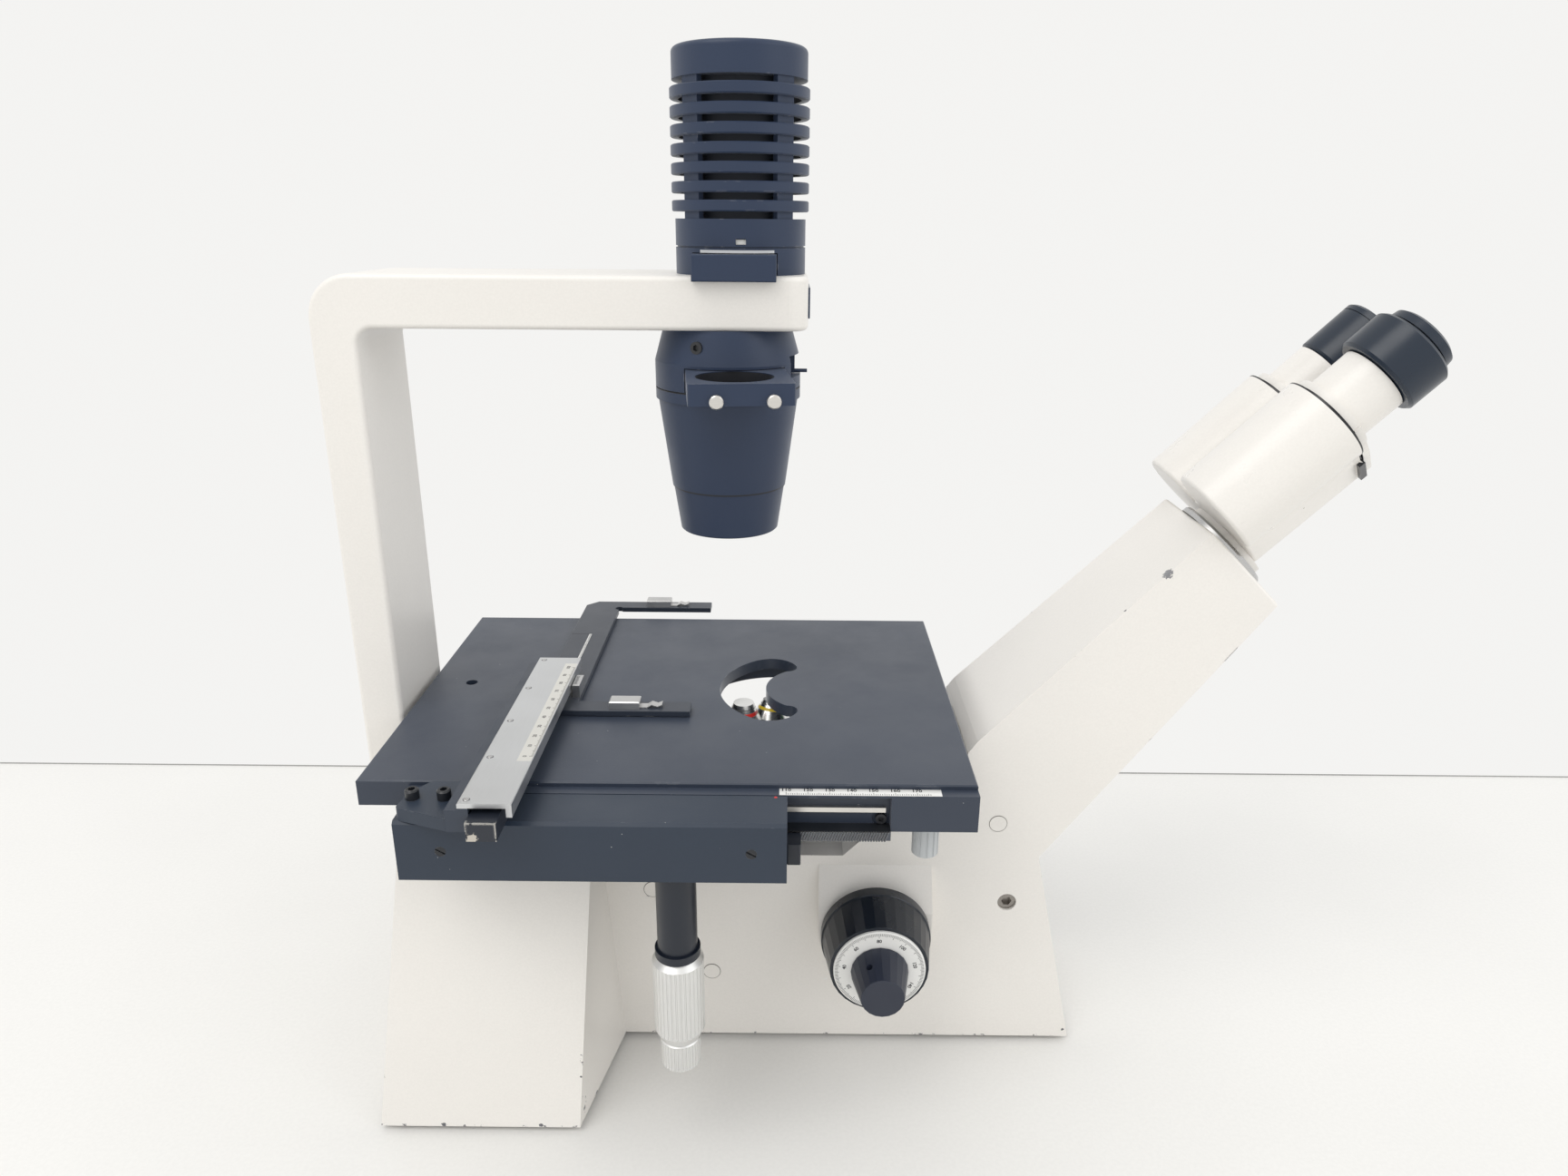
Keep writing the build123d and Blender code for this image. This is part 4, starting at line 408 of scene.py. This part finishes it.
ACROSS = (60.0, 1.0, 60.0)
materials = {
    "cream": painted("cream_enamel", CREAM, 0.34, grain=900.0, grain_depth=0.16, mottle=0.02, wear=0.0012,
                     wear_colour=CHIP, wear_scale=60.0, wear_cut=0.64, patches=stand_chips),
    "cream_plug": painted("cream_plug", CREAM, 0.34, grain=900.0, grain_depth=0.16, mottle=0.02, patches=plug_rims),
    "cream_head": painted("cream_enamel_head", CREAM, 0.30, grain=900.0, grain_depth=0.14, mottle=0.02,
                          patches=head_gap),
    "slate": painted("slate_enamel", SLATE, 0.42, grain=1400.0, grain_depth=0.22, mottle=0.06, wear=0.0006,
                     wear_colour=(0.16, 0.17, 0.2), wear_scale=80.0, wear_cut=0.6, patches=seams, gloss=0.42,
                     sheen=0.10),
    "carriage": painted("carriage_enamel", (0.019, 0.030, 0.050), 0.40, grain=1600.0, grain_depth=0.26, mottle=0.08,
                        wear=0.0005, wear_colour=RUBBED, wear_scale=90.0, wear_cut=0.6, scuff=0.06, gloss=0.42,
                        sheen=0.14, dust=0.14),
    "stage": painted("stage_enamel_grain", (0.026, 0.036, 0.058), 0.38, grain=1600.0, grain_depth=0.30, mottle=0.08,
                     wear=0.0006, wear_colour=RUBBED, wear_scale=90.0, wear_cut=0.58, scuff=0.07, gloss=0.5,
                     sheen=0.16, dust=0.07),
    "black": painted("black_enamel_fine", (0.008, 0.012, 0.021), 0.34, grain=1800.0, mottle=0.05),
    "frame": painted("holder_enamel", (0.020, 0.027, 0.042), 0.38, grain=1700.0, grain_depth=0.16, mottle=0.06,
                     wear=0.0004, wear_colour=(0.3, 0.3, 0.3), wear_scale=90.0, wear_cut=0.63, sheen=0.10),
    "slide": painted("slide_enamel", (0.016, 0.020, 0.030), 0.38, grain=1700.0, grain_depth=0.16, mottle=0.06,
                     patches=slide_chips, dust=0.1),
    "inner": painted("dark_inner", (0.03, 0.036, 0.05), 0.6, grain=900.0, grain_depth=0.1, mottle=0.05),
    "knob": painted("knob_moulding", (0.006, 0.010, 0.018), 0.30, grain=2400.0, grain_depth=0.14, mottle=0.06,
                    wear=0.0004, wear_colour=(0.05, 0.055, 0.07), wear_scale=120.0, wear_cut=0.5),
    "knob_fine": painted("fine_knob_moulding", (0.018, 0.023, 0.040), 0.42, grain=2400.0, grain_depth=0.14,
                         mottle=0.06),
    "eyepiece": painted("eyepiece_finish", (0.009, 0.018, 0.034), 0.30, grain=2400.0, mottle=0.06, dust=0.05),
    "grey": painted("grey_plastic_grain", (0.50, 0.52, 0.53), 0.42),
    "rubber": painted("rubber_grain", (0.02, 0.02, 0.02), 0.75, grain_depth=0.3, mottle=0.1),
    "sheet": painted("sheet_paint", (0.1, 0.105, 0.115), 0.45, grain=1200.0, grain_depth=0.1, mottle=0.05),
    "screw": painted("black_oxide_screws", (0.012, 0.014, 0.018), 0.34, grain=2000.0, grain_depth=0.1, mottle=0.05,
                     wear=0.0003, wear_colour=(0.14, 0.14, 0.15), wear_scale=300.0, wear_cut=0.5),
    "steel": metal("steel_turned", (0.56, 0.56, 0.56), 0.28),
    "fixings": metal("fixings_mixed", (0.50, 0.49, 0.47), 0.32, parts=screw_parts),
    # The rack's teeth carry painted highlights on their edges.
    "rack": metal("rack_dark_steel", (0.12, 0.13, 0.15), 0.42, parts=rack_highlights),
    "silver": metal("silver_anodised", (0.80, 0.80, 0.79), 0.36, brush=ACROSS, drift=0.05, bump=0.05),
    "bar": metal("bar_anodised", (0.66, 0.67, 0.68), 0.36, brush=ACROSS, drift=0.05, bump=0.05, parts=bar_parts),
    "clip": metal("clip_silver", (0.60, 0.60, 0.60), 0.34),
    "grip": metal("grip_silver", (0.72, 0.70, 0.67), 0.32),
    "brass": metal("brass_turned", (0.66, 0.5, 0.24), 0.3),
    "mirror": metal("mirror_silvered", (0.93, 0.93, 0.93), 0.08, brush=(1.0, 1.0, 1.0), drift=0.01, bump=0.0),
    "glass": glass("optical_glass", (0.93, 0.96, 0.97)),
    "ink": painted("scale_ink", (0.02, 0.02, 0.025), 0.5),
    "ink_soft": painted("scale_ink_soft", (0.16, 0.155, 0.15), 0.5),
    "white": painted("scale_white", (0.80, 0.795, 0.77), 0.4),
}
for number, (colour, tint) in enumerate(OBJECTIVES.items()):
    materials[colour] = painted(colour + "_mark", tint, 0.4)
    materials["chrome_" + colour] = objective_chrome(number, tint)

LOOKS = {
    "cream": ["stand_body", "column_arm"],
    "cream_plug": ["side_plugs"],
    "cream_head": ["head_body", "near_plate", "far_plate"],
    "slate": ["lamp_housing", "condenser_mount", "condenser_cone", "condenser_nose", "lamp_carrier", "phase_slider",
              "iris_lever", "nosepiece_carrier", "turret"],
    "carriage": ["carriage_block", "carriage_bracket"],
    "stage": ["stage_plate", "guide_rail"],
    "black": ["port_cap", "power_inlet", "switch_bezel", "power_switch", "brightness_knob", "drive_tube"],
    "frame": ["holder_frame"],
    "slide": ["holder_slide"],
    "inner": ["lamp_tube"],
    "knob": ["coarse_knobs"],
    "knob_fine": ["fine_knobs"],
    "eyepiece": ["near_eyepiece", "far_eyepiece", "near_diopter_ring"],
    "grey": ["stage_clamp_screw"],
    "rubber": ["rubber_feet"],
    "sheet": ["base_plate", "power_supply"],
    "screw": ["carriage_screws"],
    "steel": ["dovetail_ring", "lift_guide", "coarse_shaft", "fine_shaft"],
    "fixings": ["set_screws"],
    "rack": ["stage_rack"],
    "silver": ["x_knob", "y_knob"],
    "grip": ["slider_grips"],
    "clip": ["holder_clips"],
    "bar": ["cross_bar"],
    "chrome_red": ["objective_red"],
    "chrome_yellow": ["objective_yellow"],
    "chrome_green": ["objective_green"],
    "chrome_blue": ["objective_blue"],
    "brass": ["focus_bushes"],
    "mirror": ["fold_mirror"],
    "white": ["dial_ring"],
    "glass": ["lenses", "bulb", "near_eye_lens", "far_eye_lens"],
}


def dress_nodes():
    for look, names in LOOKS.items():
        for name in names:
            for slot in nodes[name].material_slots:
                slot.material = materials[look]


# ---- Bench top and the thin shadow line behind it
def stage_piece(name, points, faces, look):
    mesh = bpy.data.meshes.new(name)
    mesh.from_pydata(points, [], faces)
    piece = bpy.data.objects.new(name, mesh)
    bpy.context.scene.collection.objects.link(piece)
    piece.data.materials.append(look)


def make_floor():
    near, far, half, deep, gap = -3.0, 0.262, 4.0, -0.03, 0.0011
    stage_piece("bench_top", [(-half, near, 0), (half, near, 0), (half, far, 0), (-half, far, 0),
                              (-half, far, deep), (half, far, deep)], [(0, 1, 2, 3), (3, 2, 5, 4)],
                painted("bench_laminate", (0.79, 0.78, 0.755), 0.55, grain=500.0, grain_depth=0.03, mottle=0.01))
    stage_piece("bench_gap", [(-half, far, 0), (half, far, 0), (half, far, gap), (-half, far, gap)], [(0, 1, 2, 3)],
                painted("gap_shadow", (0.34, 0.34, 0.33), 0.6))


# ---- Helpers for marks, numbers and small trim
def new_piece(name, bm, look, body, smooth=False):
    """Make a piece of the scene from a bmesh and let it ride on a body."""
    mesh = bpy.data.meshes.new(name)
    bm.to_mesh(mesh)
    bm.free()
    if smooth:
        for face in mesh.polygons:
            face.use_smooth = True
    piece = bpy.data.objects.new(name, mesh)
    bpy.context.scene.collection.objects.link(piece)
    piece.data.materials.append(materials[look])
    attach(piece, body)


def marks(name, strokes, look, body, thick=0.00006):
    """Printed strokes: each is (middle, direction along, direction across, half length, half width), in metres."""
    bm = bmesh.new()
    corners = ((-1, -1), (1, -1), (1, 1), (-1, 1))
    for middle, along, across, half, wide in strokes:
        middle, along, across = Vector(middle), Vector(along).normalized(), Vector(across).normalized()
        out = along.cross(across).normalized() * thick
        low = [bm.verts.new(middle + along * a * half + across * b * wide) for a, b in corners]
        high = [bm.verts.new(v.co + out) for v in low]
        bm.faces.new(high)
        for k in range(4):
            bm.faces.new((low[k], low[(k + 1) % 4], high[(k + 1) % 4], high[k]))
    new_piece(name, bm, look, body)


def numbers(name, items, look, body, thick=0.00006):
    """Printed figures: each is (text, middle, direction of reading, direction of its top, height)."""
    bm = bmesh.new()
    for text, middle, reading, top, height in items:
        curve = bpy.data.curves.new(name + "_curve", "FONT")
        curve.body = text
        curve.align_x = "CENTER"
        curve.align_y = "CENTER"
        curve.size = height * 1.38
        curve.extrude = thick / 2
        curve.offset = height * 0.035
        curve.resolution_u = 3
        holder = bpy.data.objects.new(name + "_holder", curve)
        mesh = bpy.data.meshes.new_from_object(holder)
        reading, top = Vector(reading).normalized(), Vector(top).normalized()
        turn = Matrix((reading, top, reading.cross(top))).transposed().to_4x4()
        mesh.transform(Matrix.Translation(middle) @ turn)
        bm.from_mesh(mesh)
        bpy.data.objects.remove(holder)
        bpy.data.curves.remove(curve)
        bpy.data.meshes.remove(mesh)
    new_piece(name, bm, look, body)


def rounded_box(name, low, high, radius, look, body, segments=3):
    """A small plate with softened edges."""
    bm = bmesh.new()
    bmesh.ops.create_cube(bm, size=1.0)
    for v in bm.verts:
        v.co = Vector([low[k] + (high[k] - low[k]) * (v.co[k] + 0.5) for k in range(3)])
    bmesh.ops.bevel(bm, geom=list(bm.edges), offset=radius, segments=segments, affect="EDGES", profile=0.6)
    new_piece(name, bm, look, body, smooth=True)


def circle(bm, place, side, other, radius, segments):
    """Points on a circle, as new vertices."""
    angles = [2 * pi * k / segments for k in range(segments)]
    return [bm.verts.new(place + (side * cos(angle) + other * sin(angle)) * radius) for angle in angles]


def skin(bm, loops):
    """Faces between each loop of points and the next."""
    for a, b in zip(loops, loops[1:]):
        for k in range(len(a)):
            after = (k + 1) % len(a)
            bm.faces.new((a[k], a[after], b[after], b[k]))


def domes(name, places, radius, height, look, body, segments=20):
    """Low rivet heads standing on a level surface."""
    bm = bmesh.new()
    up = Vector(Z)
    side = up.orthogonal().normalized()
    other = up.cross(side)
    profile = ((1.0, 0.0), (0.93, 0.45), (0.7, 0.8), (0.35, 0.97))
    for place in places:
        rings = [circle(bm, place + up * height * h, side, other, radius * r, segments) for r, h in profile]
        tip = bm.verts.new(place + up * height)
        skin(bm, rings)
        for k in range(segments):
            bm.faces.new((rings[-1][k], rings[-1][(k + 1) % segments], tip))
    new_piece(name, bm, look, body, smooth=True)


def ring_band(name, place, axis, radius, low, high, look, body, segments=72, thick=0.0001):
    """A coloured band round a barrel."""
    side = axis.orthogonal().normalized()
    other = axis.cross(side)
    bm = bmesh.new()
    profile = ((radius, low), (radius + thick, low + thick), (radius + thick, high - thick), (radius, high))
    skin(bm, [circle(bm, place + axis * h, side, other, r, segments) for r, h in profile])
    new_piece(name, bm, look, body, smooth=True)


# ---- The pieces
def stroke_length(step, tenth, fifth, other):
    """Longer strokes at every tenth and fifth division of a scale."""
    return tenth if step % 10 == 0 else (fifth if step % 5 == 0 else other)


def stage_scale():
    """White strip of the stage scale on the guide rail's ledge, 110 to 170."""
    start, foot, face = 24.0, -111.0, RAIL_TOP + STRIP_THICKNESS
    rounded_box("stage_scale_strip", mm(20.9, -111.2, RAIL_TOP - 0.1), mm(95.2, -105.5, face), 0.00008, "white",
                "stand", segments=1)
    strokes = []
    for step in range(67):
        long = stroke_length(step, 1.0, 0.8, 0.6)
        strokes.append((mm(start + step, foot + long, face), Y, (-1, 0, 0), long * MM, 0.00011))
    items = [(str(110 + 10 * step), mm(start + 10 * step, -106.9, face), X, Y, 2.3 * MM) for step in range(7)]
    marks("stage_scale_marks", strokes, "ink", "stand")
    numbers("stage_scale_numbers", items, "ink", "stand")


def bar_scale():
    """Scale along the right edge of the cross bar, numbered for reading from the left, and its rivets."""
    start, edge = -107.0, -91.0
    strokes = []
    for step in range(101):
        long = stroke_length(step, 0.85, 0.65, 0.45)
        strokes.append((mm(edge - long, start + step, BAR_TOP), X, Y, long * MM, 0.00009))
    items = [(str(10 * step), mm(-94.7, start + 10 * step, BAR_TOP), Y, (-1, 0, 0), 1.9 * MM) for step in range(11)]
    marks("bar_scale_marks", strokes, "ink_soft", "carriage")
    numbers("bar_scale_numbers", items, "ink_soft", "carriage")
    marks("bar_scale_edge", [(mm(-97.5, -56.5, BAR_TOP), Y, X, 55.0 * MM, 0.00006)], "ink_soft", "carriage", 0.00003)
    places = [mm(-110.2, y, BAR_TOP) for y in (-145.0, -107.9, -71.3, -33.6, 3.2)]
    domes("bar_rivet_rims", places, 0.00155, 0.00008, "ink", "carriage")
    domes("bar_rivets", places, 0.00132, 0.00032, "steel", "carriage")


def holder_marks():
    """Light strip with divisions on the holder, the seam of its slide, and the vernier lines on its small plate."""
    low, high = 201.6, 201.85
    rounded_box("holder_strip", mm(-97.5, -30.0, low), mm(-95.9, 68.0, high), 0.00008, "white", "holder", segments=1)
    strokes = [(mm(-96.5, -29.0 + step, high), X, Y, (0.5 if step % 5 == 0 else 0.3) * MM, 0.00008)
               for step in range(97)]
    marks("holder_strip_marks", strokes, "ink", "holder")
    marks("holder_seam", [(mm(-102.6, 68.6, low), X, Y, 5.6 * MM, 0.00016)], "ink", "holder", 0.00004)
    lines = [(mm(-88.8, -20.0 + 0.9 * step, 208.6), X, Y, (1.0 if step % 5 == 0 else 0.7) * MM, 0.00009)
             for step in range(11)]
    marks("vernier_lines", lines, "ink", "holder")


def small_trim():
    """Pale tab in the lamp collar as painted lamp light in its slot, index marks, and the plate on the arm's end."""
    # Painted light: a pale plate in the slot stands in for the lamp's light showing through it.
    rounded_box("lamp_window_painted_light", mm(-0.95, -29.6, 431.9), mm(3.75, -28.8, 434.1), 0.0001, "white", "stand")
    domes("carriage_index", [mm(19.3, -113.1, RAIL_TOP)], 0.00075, 0.00008, "red", "carriage")
    rounded_box("arm_end_plate", mm(32.2, -24.0, 399.0), mm(33.3, 24.0, 413.0), 0.0004, "slate", "stand")
    out = Vector((-0.975, 0, -0.22))
    centre = Vector((KNOB_AXIS[0], -87.2, KNOB_AXIS[1]))
    stroke = ((centre + out * 28.1) * MM, out.cross(Vector(Y)), -out, 0.00035, 0.0009)
    marks("coarse_index", [stroke], "white", "coarse")


def dials():
    """Divided ring on each focus knob: 180 divisions, numbered by twenties."""
    up = Vector(Z)
    for name, side in (("near", -1), ("far", 1)):
        centre = mm(KNOB_AXIS[0], side * 88.8, KNOB_AXIS[1])
        right = Vector((-side, 0, 0))

        def spoke(degrees):
            angle = radians(degrees - 2.5)
            return right * sin(angle) + up * cos(angle), right * cos(angle) - up * sin(angle)

        strokes, items = [], []
        for step in range(180):
            out, across = spoke(2 * step)
            long = stroke_length(step, 1.35, 1.05, 0.8)
            strokes.append((centre + out * (22.9 - long) * MM, across, out, 0.00009, long * MM))
        for step in range(9):
            out, across = spoke(40 * step)
            items.append((str((80 + 20 * step) % 180), centre + out * 18.2 * MM, across, out, 1.9 * MM))
        marks(f"dial_marks_{name}", strokes, "ink", "coarse")
        numbers(f"dial_numbers_{name}", items, "ink", "coarse")


def objective_rings():
    """Raised coloured band on each objective's barrel."""
    for step, look in enumerate(OBJECTIVES):
        base, axis = seat_of(step)
        shoulder = OBJECTIVE_LENGTHS[step] * 0.5
        ring_band(f"objective_band_{look}", base * MM, axis, 9.95 * MM, (shoulder - 2.3) * MM, (shoulder - 0.1) * MM,
                  look, "turret")


make_camera()
make_light()
dress_nodes()
make_floor()
stage_scale()
bar_scale()
holder_marks()
small_trim()
dials()
objective_rings()

scene = bpy.context.scene
scene.view_settings.view_transform = "Standard"
